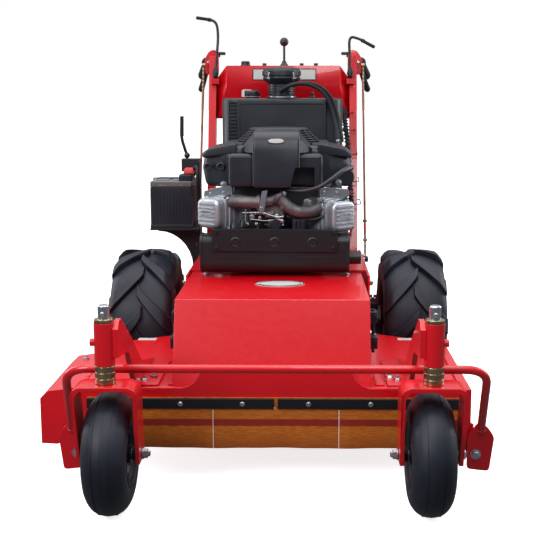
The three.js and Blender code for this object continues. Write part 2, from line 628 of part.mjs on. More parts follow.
// The exhaust box lies across the front, with a shield plate before its upper half.
function muffler() {
  const ahead = (reach) => blockFront - reach;
  const outline = [[75, 451], [17, 451], [seat, 466], [seat, 546], [20, 558], [80, 558], [93, 548], [95, 470]];
  const box = slabX(outline.map(([reach, z]) => [ahead(reach), z]), -212, 206);
  const shield = block(-178, 173, ahead(101), ahead(97), 515, 578);
  const stays = [-150, -2, 145].map((x) => block(x - 10, x + 10, ahead(99), ahead(90), 520, 545));
  const outlet = bar(v3(200, ahead(45), 490), v3(236, ahead(45), 490), 19, 14);
  return join(box, shield, ...stays, outlet);
}
add(machine, 'muffler', muffler(), blackPaint);

// The cooling shroud: a wide body with round shoulders, a nose panel and a raised fan dome.
function engineShroud() {
  const low = engineTop;
  const front = blockFront - 20;
  const body = slabY([[-205, low], [212, low], [218, 740], [212, 785], [180, 800], [130, 806], [-125, 806],
    [-172, 800], [-208, 785], [-215, 740]], front, blockRear - 10);
  const corners = [[-215, 1], [218, -1]].map(([x, inward]) => {
    const outline = [[x - inward, front - 1], [x + inward * 70, front - 1], [x - inward, front + 60]];
    return slabZ(outline, low - 5, 830);
  });
  const nosePoints = [[66, 0, low], [62, -79, low], [62, -79, 800], [56, -55, 840], [66, 15, 854],
    [66, 45, low]];
  const nose = new ConvexGeometry([1, -1].flatMap((side) => nosePoints.map(([x, y, z]) => v3(side * x,
    front + y, z))));
  const wings = slabZ([[-150, front + 5], [-66, front - 50], [66, front - 50], [155, front + 5]], low, 780);
  const dome = new THREE.CylinderGeometry(82, 138, 60, 24).rotateX(Math.PI / 2).translate(0, crankY - 30, 824);
  return join(cut(body, ...corners), nose, wings, dome);
}
add(machine, 'engine_shroud', engineShroud(), blackPlastic);

// ---- Handles, tank and console ----
const uprightInner = frameHalf - seat - upright.width;
const uprightAt = (z) => upright.footY + (z - upright.foot) * upright.lean;
const grip = { start: v3(262, 422, 1078), end: v3(300, 562, 1022), radius: 17, bore: 12 };
const onSide = (point, side) => v3(frame.x + side * point.x, point.y, point.z);
const squeezePivot = { x: 264, y: 418, z: 1046 };
const rodX = 277;
const leverPivot = { y: 292, z: 1015 };
const leverX = { left: 236, right: -224 };
function handleFrame() {
  const pieces = [];
  for (const [word, side] of SIDES) {
    const near = frame.x + side * uprightInner;
    const far = frame.x + side * (uprightInner + upright.width);
    const { foot, top, depth } = upright;
    const outline = [[uprightAt(foot), foot], [uprightAt(foot) + depth, foot],
      [uprightAt(top) + depth, top - 12],
      [uprightAt(top) + depth - 14, top], [uprightAt(top), top]];
    pieces.push(slabX(outline, Math.min(near, far), Math.max(near, far)));
    const root = v3(frame.x + side * (uprightInner + 12), uprightAt(1070) + 20, 1066);
    const start = onSide(grip.start, side);
    const end = onSide(grip.end, side);
    pieces.push(pipe([root, start, end], grip.bore, 20, 10, 10));
    const ear = [frame.x + side * (squeezePivot.x - 18), frame.x + side * (squeezePivot.x - 8)];
    const earOutline = [[340, 1036], [squeezePivot.y + 12, 1036], [squeezePivot.y + 12, 1072], [340, 1072]];
    pieces.push(slabX(earOutline, Math.min(...ear), Math.max(...ear)));
    const lugX = leverX[word];
    pieces.push(block(lugX - 13, lugX + 13, leverPivot.y - 14, uprightAt(990) + 8,
      leverPivot.z - 28, leverPivot.z - 10 - seat));
  }
  const across = [frame.x - uprightInner - 2, frame.x + uprightInner + 2];
  pieces.push(block(...across, tank.front, uprightAt(shelfTop) + 30, shelfTop - 6, shelfTop));
  pieces.push(bar(v3(across[0], uprightAt(480) + 25, 480), v3(across[1], uprightAt(480) + 25, 480), 12, 12));
  return join(...pieces);
}
add(machine, 'handle_frame', handleFrame(), redPaint);

function fuelTank() {
  const half = tank.width / 2;
  const arc = (x, y, from) => Array.from({ length: 6 }, (_, i) => {
    const turn = ((from + 18 * i) * Math.PI) / 180;
    return [tank.x + x + tank.corner * Math.cos(turn), y + tank.corner * Math.sin(turn)];
  });
  const back = tank.front + tank.depth;
  const outline = [...arc(half - tank.corner, back - tank.corner, 0),
    ...arc(-half + tank.corner, back - tank.corner, 90),
    ...arc(-half + tank.corner, tank.front + tank.corner, 180),
      ...arc(half - tank.corner, tank.front + tank.corner, 270)];
  const groove = block(tank.x - half + 28, tank.x - half + 44, tank.front - 5, tank.front + 7, shelfTop - 5,
    tank.top + 5);
  const neck = turned([[0, -6], [20, -6], [20, 5], [0, 5]], 'z', 20).translate(fuelCapX, canisterY, tank.top);
  return join(cut(slabZ(outline, shelfTop + seat, tank.top), groove), neck);
}
const canisterY = 112;
const canisterX = 6;
const fuelCapX = -90;
add(machine, 'fuel_tank', fuelTank(), blackPlastic);
add(machine, 'fuel_cap', turned([[0, 5 + seat], [24, 5 + seat], [26, 8], [26, 20], [22, 24], [0, 24]], 'z', 24)
  .translate(fuelCapX, canisterY, tank.top), blackPlastic);
add(machine, 'air_canister', turned([[0, seat], [46, seat], [46, 8], [42, 12], [42, 44], [52, 52], [62, 58],
  [67, 66], [67, 88], [60, 97], [0, 97]],
  'z', 20).translate(canisterX, canisterY, tank.top), blackPlastic);

// The breather hose leaves the canister's neck, arches over the tank's front edge and drops to the shroud.
const breatherRoute = [[6, 69.2, 962], [7, 60, 963], [24, 42, 974], [54, 34, 983], [88, 28, 983],
  [122, 24, 970],
  [150, 20, 944], [168, 16, 905], [178, 8, 868], [184, -6, 838], [187.5, -20, 816], [188, -22, 801.5]];
function breatherHose() {
  const route = new THREE.CatmullRomCurve3(breatherRoute.map((p) => v3(...p)));
  return new THREE.ExtrudeGeometry(outlineShape(circle(0, 0, 7, 8)), { extrudePath: route, steps: 20 });
}
add(machine, 'breather_hose', breatherHose(), hoseRubber);

const consoleTop = 1048;
const consoleX = 8;
const consoleHalf = { front: 192, rear: uprightInner - seat };
const shiftY = 340;
function consoleShell() {
  const rear = 430;
  const corners = (wall) => SIDES.flatMap(([, side]) => {
    const near = consoleX + side * (consoleHalf.front - wall);
    const far = frame.x + side * (consoleHalf.rear - wall);
    return [
      v3(near, 275 + wall, consoleTop - wall), v3(near, rear - wall, consoleTop - wall),
      v3(far, 335 + wall, 1008 - wall), v3(far, rear - wall, 1008 - wall),
      v3(near, 268 + wall, 980), v3(far, 328 + wall, 980),
      v3(far, 300 + wall, 870 - wall * 2), v3(far, rear - wall, 870 - wall * 2),
    ];
  });
  const outer = new ConvexGeometry(corners(0));
  const inner = new ConvexGeometry(corners(4));
  const slot = block(shiftX - 7, shiftX + 7, shiftY - 20, shiftY + 20, consoleTop - 10, consoleTop + 5);
  const seatBridge = block(shiftX - 14, shiftX + 14, 271, 426, 1000, shiftPivotZ - 9 - seat);
  const shell = join(cut(outer, inner, slot), seatBridge);
  const lugClear = SIDES.map(([word]) => block(leverX[word] - 14, leverX[word] + 14, 270, 325,
    leverPivot.z - 30, leverPivot.z + 20));
  return cut(shell, ...lugClear);
}
const shiftX = 10;
const shiftPivotZ = 1024;
add(machine, 'console', consoleShell(), redPaint);

function shiftLever() {
  const at = (z) => v3(shiftX, shiftY, z);
  const ball = (z, radius) => new THREE.SphereGeometry(radius, 10, 6).rotateX(Math.PI / 2).translate(shiftX,
    shiftY, z);
  return join(ball(shiftPivotZ, 9), bar(at(shiftPivotZ), at(1132), 4, 10), ball(1130, 15));
}
add(machine, 'shift_lever', shiftLever(), blackPlastic);

// The tall levers: a ball foot with a boot, a thin bent rod and a flat pad.
const leverFoot = (word) => v3(leverX[word], leverPivot.y, leverPivot.z);
const leverRoutes = {
  left: [leverFoot('left'), v3(231, 298, 1146), v3(262, 298, 1140), v3(296, 298, 1122)],
  right: [leverFoot('right'), v3(-213, 298, 1150), v3(-219, 298, 1198), v3(-262, 298, 1204)],
};
function driveLever(word) {
  const route = leverRoutes[word];
  const [foot] = route;
  const ball = new THREE.SphereGeometry(10, 10, 6).rotateX(Math.PI / 2).translate(...foot.toArray());
  const boot = bar(foot.clone().add(v3(0, 0, 4)), foot.clone().add(v3(0, 0.6, 26)), 9, 12, 6);
  const rod = pipe(route, 4.5, 16, 14, 6);
  const end = route[3];
  const along = end.clone().sub(route[2]).normalize();
  const slope = Math.atan2(-along.z, along.x);
  const pad = new THREE.BoxGeometry(44, 18, 6).rotateY(slope).translate(...end.clone().addScaledVector(along,
    2).toArray());
  return join(ball, boot, rod, pad);
}
for (const [word] of SIDES) add(machine, `${word}_drive_lever`, driveLever(word), blackPaint);

// Grips slide over the handle tubes; a squeeze lever hangs below each and pushes a long control rod.
const rodTop = v3(rodX, squeezePivot.y - 46, squeezePivot.z + 10);
const rodFoot = v3(rodX, 95, 410);
for (const [word, side] of SIDES) {
  const start = onSide(grip.start, side);
  const end = onSide(grip.end, side);
  const along = end.clone().sub(start);
  const length = along.length();
  const bore = grip.bore + running;
  const sleeve = turned([[0, length + seat], [bore, length + seat], [bore, 38], [grip.radius, 38],
    [grip.radius, length - 2], [0, length + 8]], 'y', 20);
  sleeve.applyQuaternion(new THREE.Quaternion().setFromUnitVectors(v3(0, 1, 0), along.normalize()));
  add(machine, `${word}_grip`, sleeve.translate(...start.toArray()), hoseRubber);

  const { x, y, z } = squeezePivot;
  const pin = bar(onSide(v3(x - 8 + seat, y, z), side), onSide(v3(rodX - 4 - seat, y, z), side), 7, 12);
  const armWidths = [frame.x + side * (rodX - 4 - seat), frame.x + side * (rodX - 10)];
  const armOutline = [[y - 52, z + 2], [y + 8, z - 8], [y + 8, z + 7], [y - 50, z + 16]];
  const arm = slabX(armOutline, Math.min(...armWidths), Math.max(...armWidths));
  const blade = bar(onSide(v3(x + 5, y + 2, z - 1), side), onSide(v3(x + 42, y + 146, z - 74), side), 9, 12,
    11);
  add(machine, `${word}_squeeze_lever`, join(pin, arm, blade), hoseRubber);
  add(machine, `${word}_control_rod`, bar(onSide(rodFoot, side), onSide(rodTop, side), 4, 8), zinc);
}

// ---- Battery ----
const trayOuterFace = frame.x - frameHalf - frame.wall - seat;
function batteryTray() {
  const left = battery.x - battery.width / 2 - 2;
  const shelf = block(left, trayOuterFace, battery.front - 4, battery.front + battery.depth + 2,
    battery.bottom - 6, battery.bottom - seat);
  const curve = Array.from({ length: 8 }, (_, i) => {
    const turn = (Math.PI / 2) * (i / 7);
    return [left + 12 + (trayOuterFace - left - 40) * Math.sin(turn),
      battery.bottom - 20 - 118 * (1 - Math.cos(turn))];
  });
  const web = slabY([[left, battery.bottom - 4], ...curve, [trayOuterFace - 28, 392], [trayOuterFace, 392],
    [trayOuterFace, battery.bottom - 4]], 30, 36);
  const flange = block(trayOuterFace - 5, trayOuterFace, 0, 70, 388, 742);
  const headTop = brakePivot.z - 10 - seat;
  const head = block(brakePivot.x - 16, trayOuterFace, 30, 74, headTop - 40, headTop);
  return join(shelf, web, flange, head);
}
const brakePivot = { x: -298, y: 52, z: 757 };
add(machine, 'battery_tray', batteryTray(), blackPaint);
function batteryBox() {
  const half = battery.width / 2;
  const right = Math.min(battery.x + half, trayOuterFace - 5 - seat);
  const { x, front, depth, bottom, top } = battery;
  const body = block(x - half, right, front, front + depth, bottom, top - 14);
  const lid = block(x - half + 4, right - 4, front + 4, front + depth - 4, top - 16, top);
  return join(body, lid);
}
add(machine, 'battery', batteryBox(), blackPlastic);
function brakeLever() {
  const { x, y, z } = brakePivot;
  const ball = new THREE.SphereGeometry(10, 10, 6).rotateX(Math.PI / 2).translate(x, y, z);
  return join(ball, pipe([v3(x, y, z), v3(x - 16, y - 4, z + 52), v3(x - 14, y - 4, z + 126)], 5, 16, 8, 8));
}
add(machine, 'brake_lever', brakeLever(), blackPaint);

// The origin is the middle of the base.
const bounds = new THREE.Box3().setFromObject(machine);
const middle = bounds.getCenter(v3(0, 0, 0));
machine.position.set(-middle.x, -middle.y, -bounds.min.z);
const mower = new THREE.Group();
mower.add(machine);
mower.updateMatrixWorld(true);

export default mower;
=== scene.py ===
# A walk-behind brush mower: its finishes, its detailed pieces and the studio it stands in.
# Pieces are drawn in millimetres from the middle of the drive axle's line on the ground, facing -Y,
# and are placed in the frame in metres. "left" is +X and "right" is -X, as the operator has them.
import math
import bmesh
import bpy
from mathutils import Matrix, Vector


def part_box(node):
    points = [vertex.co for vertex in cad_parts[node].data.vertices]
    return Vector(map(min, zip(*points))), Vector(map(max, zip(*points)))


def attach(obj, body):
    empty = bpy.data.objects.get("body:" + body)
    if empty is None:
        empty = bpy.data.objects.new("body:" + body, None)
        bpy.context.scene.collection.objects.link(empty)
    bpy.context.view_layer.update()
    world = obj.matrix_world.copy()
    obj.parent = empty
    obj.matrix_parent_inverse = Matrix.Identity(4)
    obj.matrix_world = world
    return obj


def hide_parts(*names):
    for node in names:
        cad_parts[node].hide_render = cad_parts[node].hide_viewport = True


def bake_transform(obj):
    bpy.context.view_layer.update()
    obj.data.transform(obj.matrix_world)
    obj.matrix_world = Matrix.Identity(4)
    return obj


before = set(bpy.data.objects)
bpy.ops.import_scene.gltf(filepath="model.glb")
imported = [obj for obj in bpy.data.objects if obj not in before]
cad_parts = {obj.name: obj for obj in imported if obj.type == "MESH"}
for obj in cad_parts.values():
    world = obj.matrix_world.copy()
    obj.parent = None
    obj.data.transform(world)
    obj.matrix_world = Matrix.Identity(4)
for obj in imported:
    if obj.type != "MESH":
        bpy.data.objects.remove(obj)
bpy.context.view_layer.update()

SIDES = (("left", 1), ("right", -1))
AXES = {"x": Vector((1, 0, 0)), "y": Vector((0, 1, 0)), "z": Vector((0, 0, 1))}


def direction(axis):
    """An axis given by its letter or as a vector."""
    return AXES[axis].copy() if isinstance(axis, str) else Vector(axis)


def middle(node):
    """The middle of a CAD node, in metres."""
    low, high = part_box(node)
    return (low + high) / 2


AXLE = (middle("left_drive_tyre") + middle("right_drive_tyre")) / 2
ORIGIN = Vector((AXLE.x, AXLE.y, 0))


def placed(x, y, z):
    """A point of the machine, given in millimetres, in the frame."""
    return ORIGIN + Vector((x, y, z)) / 1000


def reach_of(node):
    """A CAD node's lowest and highest corners, in the machine's millimetres."""
    low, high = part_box(node)
    return (low - ORIGIN) * 1000, (high - ORIGIN) * 1000


def heart_of(node):
    """The middle of a CAD node, in the machine's millimetres."""
    low, high = reach_of(node)
    return (low + high) / 2


def add_node(tree, kind, settings=None, inputs=None):
    """One node of a tree: its settings first, then its sockets' values or links."""
    node = tree.nodes.new(kind)
    for key, value in (settings or {}).items():
        if key == "stops":
            ramp = node.color_ramp
            while len(ramp.elements) < len(value):
                ramp.elements.new(1.0)
            for element, (place, colour) in zip(ramp.elements, value):
                element.position = place
                element.color = colour
        else:
            setattr(node, key, value)
    for key, value in (inputs or {}).items():
        socket = node.inputs[key]
        source = getattr(value, "socket", value)
        if isinstance(source, bpy.types.NodeSocket):
            tree.links.new(source, socket)
        else:
            socket.default_value = value
    return node


# ---- Finishes ----
class Value:
    """A shader socket that sums can be written with."""

    def __init__(self, finish, socket):
        self.finish = finish
        self.socket = socket

    def sum_with(self, operation, first, second=0.0):
        node = add_node(self.finish.tree, "ShaderNodeMath", {"operation": operation}, {0: first, 1: second})
        return Value(self.finish, node.outputs[0])

    def __add__(self, other):
        return self.sum_with("ADD", self, other)

    __radd__ = __add__

    def __sub__(self, other):
        return self.sum_with("SUBTRACT", self, other)

    def __rsub__(self, other):
        return self.sum_with("SUBTRACT", other, self)

    def __mul__(self, other):
        return self.sum_with("MULTIPLY", self, other)

    __rmul__ = __mul__

    def above(self, low, high):
        """0 under low and 1 over high, with a smooth step between."""
        settings = {"interpolation_type": "SMOOTHSTEP"}
        node = add_node(self.finish.tree, "ShaderNodeMapRange", settings,
                        {"Value": self, "From Min": low, "From Max": high})
        return Value(self.finish, node.outputs[0])


class Finish:
    """A material. What is the same all over is set on the shader, and what varies is linked to it."""

    def __init__(self, name, roughness, **fixed):
        self.name = name
        self.material = bpy.data.materials.new(f"{name}_finish")
        self.material.use_nodes = True
        self.tree = self.material.node_tree
        self.shader = self.tree.nodes["Principled BSDF"]
        self.shader.inputs["Roughness"].default_value = roughness
        for key, value in fixed.items():
            self.shader.inputs[key.replace("_", " ").title().replace("Ior", "IOR")].default_value = value
        self.place = self.node("ShaderNodeTexCoord", output="Object")

    def node(self, kind, settings=None, inputs=None, output=0):
        return Value(self, add_node(self.tree, kind, settings, inputs).outputs[output])

    def noise(self, scale, detail=3.0, stretch=(1, 1, 1), roughness=0.5):
        """Noise over the piece, from 0 to 1, `scale` to the metre."""
        place = self.place
        if stretch != (1, 1, 1):
            place = self.node("ShaderNodeMapping", None, {"Vector": self.place, "Scale": stretch})
        inputs = {"Vector": place, "Scale": scale, "Detail": detail, "Roughness": roughness}
        return self.node("ShaderNodeTexNoise", None, inputs)

    def facing_up(self):
        """1 on what faces upwards."""
        normal = self.node("ShaderNodeNewGeometry", output="Normal")
        return self.node("ShaderNodeSeparateXYZ", None, {0: normal}, "Z").above(0.35, 0.95)

    def mix(self, amount, first, second):
        """The first colour where the amount is 0 and the second where it is 1."""
        node = add_node(self.tree, "ShaderNodeMix", {"data_type": "RGBA"}, {0: amount, 6: first, 7: second})
        return Value(self, node.outputs[2])

    def colour(self, value):
        self.paint("Base Color", value)

    def paint(self, name, value):
        if isinstance(value, Value):
            self.tree.links.new(value.socket, self.shader.inputs[name])
        else:
            self.shader.inputs[name].default_value = value

    def bump(self, height, distance, strength=1.0):
        inputs = {"Height": height, "Distance": distance, "Strength": strength}
        self.paint("Normal", self.node("ShaderNodeBump", None, inputs, "Normal"))


def rgb(red, green, blue):
    """A colour as a screen shows it, from 0 to 255, for the shader."""
    def linear(part):
        part /= 255
        return part / 12.92 if part <= 0.04045 else ((part + 0.055) / 1.055) ** 2.4
    return (linear(red), linear(green), linear(blue), 1.0)


def paint_finish(name, colour, dusty, roughness, coat, peel):
    """Sprayed enamel: a little uneven in shade, with orange peel under its gloss and dust on top."""
    finish = Finish(name, roughness, coat_weight=coat, coat_roughness=0.05)
    cloud = finish.noise(5.0, 4.0)
    shade = finish.mix(cloud.above(0.2, 0.9) * 0.12, colour,
                       tuple(0.8 * part for part in colour[:3]) + (1.0,))
    dust = finish.facing_up() * finish.noise(42.0, 5.0).above(0.5, 0.78)
    finish.colour(finish.mix(dust * 0.03, shade, dusty))
    finish.paint("Roughness", dust * 0.06 + finish.noise(70.0).above(0.3, 0.7) * 0.05 + roughness)
    finish.bump(finish.noise(620.0, 2.0) + finish.noise(150.0, 1.0) * 0.5, peel, 0.2)
    return finish


def moulded_finish(name, colour, worn, roughness, specular, grain, grain_height):
    """Moulded plastic or rubber: a fine spark-eroded grain, paler where it has been handled or dusted."""
    finish = Finish(name, roughness, specular_ior_level=specular)
    cloud = finish.noise(9.0, 5.0).above(0.42, 0.75)
    dust = finish.facing_up() * finish.noise(60.0, 4.0).above(0.45, 0.75)
    finish.colour(finish.mix(cloud * 0.35 + dust * 0.3, colour, worn))
    finish.paint("Roughness", cloud * 0.08 + dust * 0.1 + roughness)
    finish.bump(finish.noise(grain, 2.0), grain_height, 0.5)
    return finish


def metal_finish(name, colour, dull, roughness, grain, stretch=(1, 1, 1), height=0.00005):
    """Bare or plated metal, with dull patches and a grain along its working direction."""
    finish = Finish(name, roughness)
    finish.paint("Metallic", 1.0)
    patch = finish.noise(26.0, 5.0).above(0.45, 0.72)
    fine = finish.noise(grain, 3.0, stretch)
    finish.colour(finish.mix(patch * 0.7, colour, dull))
    finish.paint("Roughness", patch * 0.14 + fine * 0.1 + roughness)
    finish.bump(fine, height, 0.4)
    return finish


def zinc_finish():
    """Yellow passivated zinc, which drifts between straw, green and pink."""
    finish = Finish("zinc_plate", 0.28)
    finish.paint("Metallic", 1.0)
    drift = finish.noise(34.0, 3.0)
    tint = finish.mix(drift.above(0.35, 0.6), rgb(184, 165, 128), rgb(156, 142, 108))
    finish.colour(finish.mix(drift.above(0.6, 0.75), tint, rgb(168, 134, 116)))
    finish.paint("Roughness", finish.noise(180.0) * 0.16 + 0.2)
    finish.bump(finish.noise(300.0), 0.00004, 0.4)
    return finish


def cast_finish():
    """Sand-cast aluminium, pitted and a little stained."""
    finish = Finish("cast_alloy", 0.42)
    finish.paint("Metallic", 0.85)
    stain = finish.noise(30.0, 5.0).above(0.5, 0.75)
    finish.colour(finish.mix(stain * 0.6, rgb(190, 194, 200), rgb(128, 132, 140)))
    finish.paint("Roughness", stain * 0.12 + finish.noise(220.0).above(0.3, 0.7) * 0.14 + 0.34)
    pits = finish.node("ShaderNodeTexVoronoi", None, {"Vector": finish.place, "Scale": 420.0}, "Distance")
    finish.bump(pits * 0.6 + finish.noise(260.0), 0.00022, 0.55)
    return finish


def belting_finish():
    """Orange rubber belting with a dark red stripe, ribbed by the weave under its skin, with painted shade
    darkening its lower half.
    """
    finish = Finish("apron_belting", 0.42, specular_ior_level=0.4)
    drop = finish.node("ShaderNodeAttribute", {"attribute_name": "drop"}, None, "Fac")
    streak = finish.noise(55.0, 5.0, (1.0, 1.0, 9.0))
    body = finish.mix(streak.above(0.35, 0.7), rgb(178, 92, 26), rgb(206, 118, 38))
    # Painted shade: the lower half of the sheet darkens towards its bottom edge.
    low = finish.mix(drop.above(0.5, 1.0) * 0.6, body, rgb(150, 72, 26))
    ragged = drop + (streak - 0.5) * 0.05
    stripe = ragged.above(0.255, 0.275) - ragged.above(0.425, 0.45)
    finish.colour(finish.mix(stripe * 0.92, low, rgb(140, 26, 28)))
    finish.paint("Roughness", streak * 0.25 + 0.3)
    weave = finish.node("ShaderNodeTexWave", {"bands_direction": "X"},
                        {"Vector": finish.place, "Scale": 160.0})
    finish.bump(weave * 0.4 + finish.noise(90.0, 4.0), 0.0005, 0.35)
    return finish


def floor_finish():
    """The studio's pale paper floor."""
    finish = Finish("studio_paper", 0.9, specular_ior_level=0.1, emission_strength=0.8)
    finish.colour(finish.mix(finish.noise(2.0), (0.9, 0.9, 0.9, 1), (0.94, 0.94, 0.94, 1)))
    finish.paint("Emission Color", (1.0, 1.0, 1.0, 1.0))
    return finish


# Each finish by its name. Enamel: colour, dust, roughness, coat and depth of its orange peel.
# Mouldings: colour, wear, roughness, specular level, grain and its depth.
# Metals: colour, dullness, roughness and grain.
FINISHES = {
    finish.name: finish.material
    for finish in (
        paint_finish("red_paint", rgb(210, 3, 22), rgb(214, 120, 116), 0.3, 0.42, 0.00007),
        paint_finish("black_paint", rgb(11, 13, 19), rgb(80, 82, 88), 0.42, 0.05, 0.0001),
        moulded_finish("black_plastic", rgb(26, 29, 37), rgb(40, 44, 54), 0.36, 0.5, 900.0, 0.0001),
        moulded_finish("hose_rubber", rgb(24, 26, 31), rgb(48, 51, 57), 0.6, 0.35, 500.0, 0.0002),
        moulded_finish("tyre_rubber", rgb(21, 25, 35), rgb(54, 60, 76), 0.48, 0.4, 340.0, 0.0004),
        moulded_finish("badge_face", rgb(206, 206, 202), rgb(176, 176, 172), 0.3, 0.5, 700.0, 0.00003),
        moulded_finish("battery_lid", rgb(96, 99, 104), rgb(140, 142, 146), 0.3, 0.5, 700.0, 0.00008),
        moulded_finish("red_plastic", rgb(190, 20, 26), rgb(220, 90, 84), 0.4, 0.5, 700.0, 0.0001),
        metal_finish("steel", rgb(196, 199, 205), rgb(130, 133, 140), 0.24, 700.0),
        metal_finish("dark_steel", rgb(72, 70, 76), rgb(46, 45, 50), 0.34, 500.0),
        metal_finish("warm_rod", rgb(136, 100, 76), rgb(84, 60, 46), 0.34, 500.0, (1, 1, 6)),
        # A darker copy of the cast alloy, used for the intake runners.
        metal_finish("sooty_alloy", rgb(118, 112, 114), rgb(84, 80, 84), 0.5, 400.0),
        zinc_finish(), cast_finish(), belting_finish(), floor_finish(),
    )
}


# ---- Shells ----
def eased(points, reach, steps=4, closed=False):
    """The corners of a line of points rounded by curves that start `reach` before them."""
    points = [Vector(p) for p in points]
    count = len(points)
    line = []
    for i, here in enumerate(points):
        if not closed and i in (0, count - 1):
            line.append(here)
            continue
        before, after = points[i - 1] - here, points[(i + 1) % count] - here
        start = here + before * min(0.48, reach / max(before.length, 1e-6))
        end = here + after * min(0.48, reach / max(after.length, 1e-6))
        for k in range(steps + 1):
            t = k / steps
            line.append(start * (1 - t) ** 2 + here * (2 * t * (1 - t)) + end * t * t)
    return line


def softened(outline, reach, steps):
    """A closed outline with its corners rounded."""
    return [tuple(p) for p in eased(outline, reach, steps, True)]


def ball(radius, widest, step):
    """The lathe profile of a ball, drawn up to `widest` degrees from its waist."""
    turns = [math.radians(angle) for angle in range(-widest, widest + 1, step)]
    skin = [(radius * math.cos(turn), radius * math.sin(turn)) for turn in turns]
    return [(0, -radius), *skin, (0, radius)]


def arc(cx, cy, radius, start, end, steps):
    """Points of an arc, its ends in degrees."""
    turns = [math.radians(start + (end - start) * i / steps) for i in range(steps + 1)]
    return [(cx + radius * math.cos(turn), cy + radius * math.sin(turn)) for turn in turns]


class Form:
    """Closed shells gathered in millimetres, each with its finish, which become one piece."""

    def __init__(self, paint):
        self.paint = paint
        self.corners, self.faces, self.paints = [], [], []

    def take(self, corners, faces, paint=None):
        first = len(self.corners)
        self.corners.extend(Vector(c) for c in corners)
        self.faces.extend([first + i for i in face] for face in faces)
        self.paints.extend([paint or self.paint] * len(faces))
        return self

    def take_bmesh(self, bm, paint=None):
        bm.verts.index_update()
        self.take([v.co.copy() for v in bm.verts], [[v.index for v in face.verts] for face in bm.faces],
                  paint)
        bm.free()
        return self

    def turned(self, profile, axis="z", centre=(0, 0, 0), steps=48, ease=0.0, paint=None):
        """A lathe shell: profile points are (radius, distance along the axis)."""
        closed = Vector(profile[0]) == Vector(profile[-1])
        if ease:
            bare = profile[:-1] if closed else profile
            profile = [tuple(p) for p in eased(bare, ease, 3, closed)]
            profile += profile[:1] if closed else []
        along = direction(axis)
        across = along.orthogonal().normalized()
        beside = along.cross(across)
        centre = Vector(centre)
        corners, rings = [], []
        for radius, distance in profile[:-1] if closed else profile:
            if radius < 1e-6:
                rings.append([len(corners)] * steps)
                corners.append(centre + along * distance)
                continue
            rings.append(list(range(len(corners), len(corners) + steps)))
            for i in range(steps):
                turn = 2 * math.pi * (i + 0.5) / steps
                spoke = across * math.cos(turn) + beside * math.sin(turn)
                corners.append(centre + along * distance + spoke * radius)
        if closed:
            rings.append(rings[0])
        faces = []
        for low, high in zip(rings, rings[1:]):
            for i in range(steps):
                k = (i + 1) % steps
                face = list(dict.fromkeys([low[i], low[k], high[k], high[i]]))
                if len(face) > 2:
                    faces.append(face)
        return self.take(corners, faces, paint)

    def tube(self, path, radius, bend=0.0, sides=14, steps=6, paint=None):
        """A round bar along a path. The radius is a number, or a function of the share of the way along."""
        path = eased(path, bend, steps) if bend else [Vector(p) for p in path]
        size = radius if callable(radius) else lambda share: radius
        ahead = [(b - a).normalized() for a, b in zip(path, path[1:])]
        across = ahead[0].orthogonal().normalized()
        travelled, total = 0.0, sum((b - a).length for a, b in zip(path, path[1:]))
        corners = []
        for i, here in enumerate(path):
            way = (ahead[max(i - 1, 0)] + ahead[min(i, len(ahead) - 1)]).normalized()
            across = (across - way * across.dot(way)).normalized()
            beside = way.cross(across)
            r = size(travelled / total)
            for k in range(sides):
                turn = 2 * math.pi * k / sides
                corners.append(here + (across * math.cos(turn) + beside * math.sin(turn)) * r)
            if i < len(ahead):
                travelled += (path[i + 1] - here).length
        faces = [list(range(sides)), list(range(len(corners) - sides, len(corners)))]
        for i in range(len(path) - 1):
            for k in range(sides):
                m = (k + 1) % sides
                faces.append([i * sides + k, i * sides + m, (i + 1) * sides + m, (i + 1) * sides + k])
        return self.take(corners, faces, paint)

    def plate(self, outline, low, high, axis="z", edge=1.2, steps=2, turn=None, paint=None):
        """An outline pushed through from low to high: (x, y) along Z, (y, z) along X or (x, z) along Y."""
        order = {"x": lambda a, b, c: (c, a, b), "y": lambda a, b, c: (a, c, b), "z": lambda a, b,
                 c: (a, b, c)}[axis]
        bm = bmesh.new()
        ends = [[bm.verts.new(order(a, b, c)) for a, b in outline] for c in (low, high)]
        for end in ends:
            bm.faces.new(end)
        for i in range(len(outline)):
            k = (i + 1) % len(outline)
            bm.faces.new((ends[0][i], ends[0][k], ends[1][k], ends[1][i]))
        return self.finished(bm, edge, steps, turn, paint)

    def block(self, x0, x1, y0, y1, z0, z1, edge=1.2, turn=None, paint=None):
        return self.plate([(x0, y0), (x1, y0), (x1, y1), (x0, y1)], z0, z1, "z", edge, 2, turn, paint)

    def hull(self, points, edge=3.0, steps=3, paint=None):
        """The convex body round the points, with its edges rounded."""
        bm = bmesh.new()
        for point in points:
            bm.verts.new(point)
        bmesh.ops.convex_hull(bm, input=bm.verts)
        loose = [v for v in bm.verts if not v.link_faces]
        bmesh.ops.delete(bm, geom=loose, context="VERTS")
        bmesh.ops.dissolve_limit(bm, angle_limit=math.radians(2), verts=bm.verts, edges=bm.edges)
        return self.finished(bm, edge, steps, None, paint)

    def finished(self, bm, edge, steps=2, turn=None, paint=None):
        """Takes a drawn shell with its sharp edges rounded, turned and moved by a matrix."""
        bmesh.ops.recalc_face_normals(bm, faces=bm.faces)
        round_edges(bm, edge, steps)
        if turn is not None:
            bmesh.ops.transform(bm, matrix=turn, verts=bm.verts)
        return self.take_bmesh(bm, paint)

    def cad(self, node, edge=1.0, steps=2, paint=None, keep=None):
        """The CAD node's own shape with its corners shared and its sharp edges rounded."""
        bm = bmesh.new()
        bm.from_mesh(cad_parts[node].data)
        for vert in bm.verts:
            vert.co = (vert.co - ORIGIN) * 1000
        bmesh.ops.remove_doubles(bm, verts=bm.verts, dist=0.01)
        bmesh.ops.dissolve_limit(bm, angle_limit=math.radians(0.6), verts=bm.verts, edges=bm.edges)
        if keep:
            keep(bm)
        return self.finished(bm, edge, steps, None, paint)


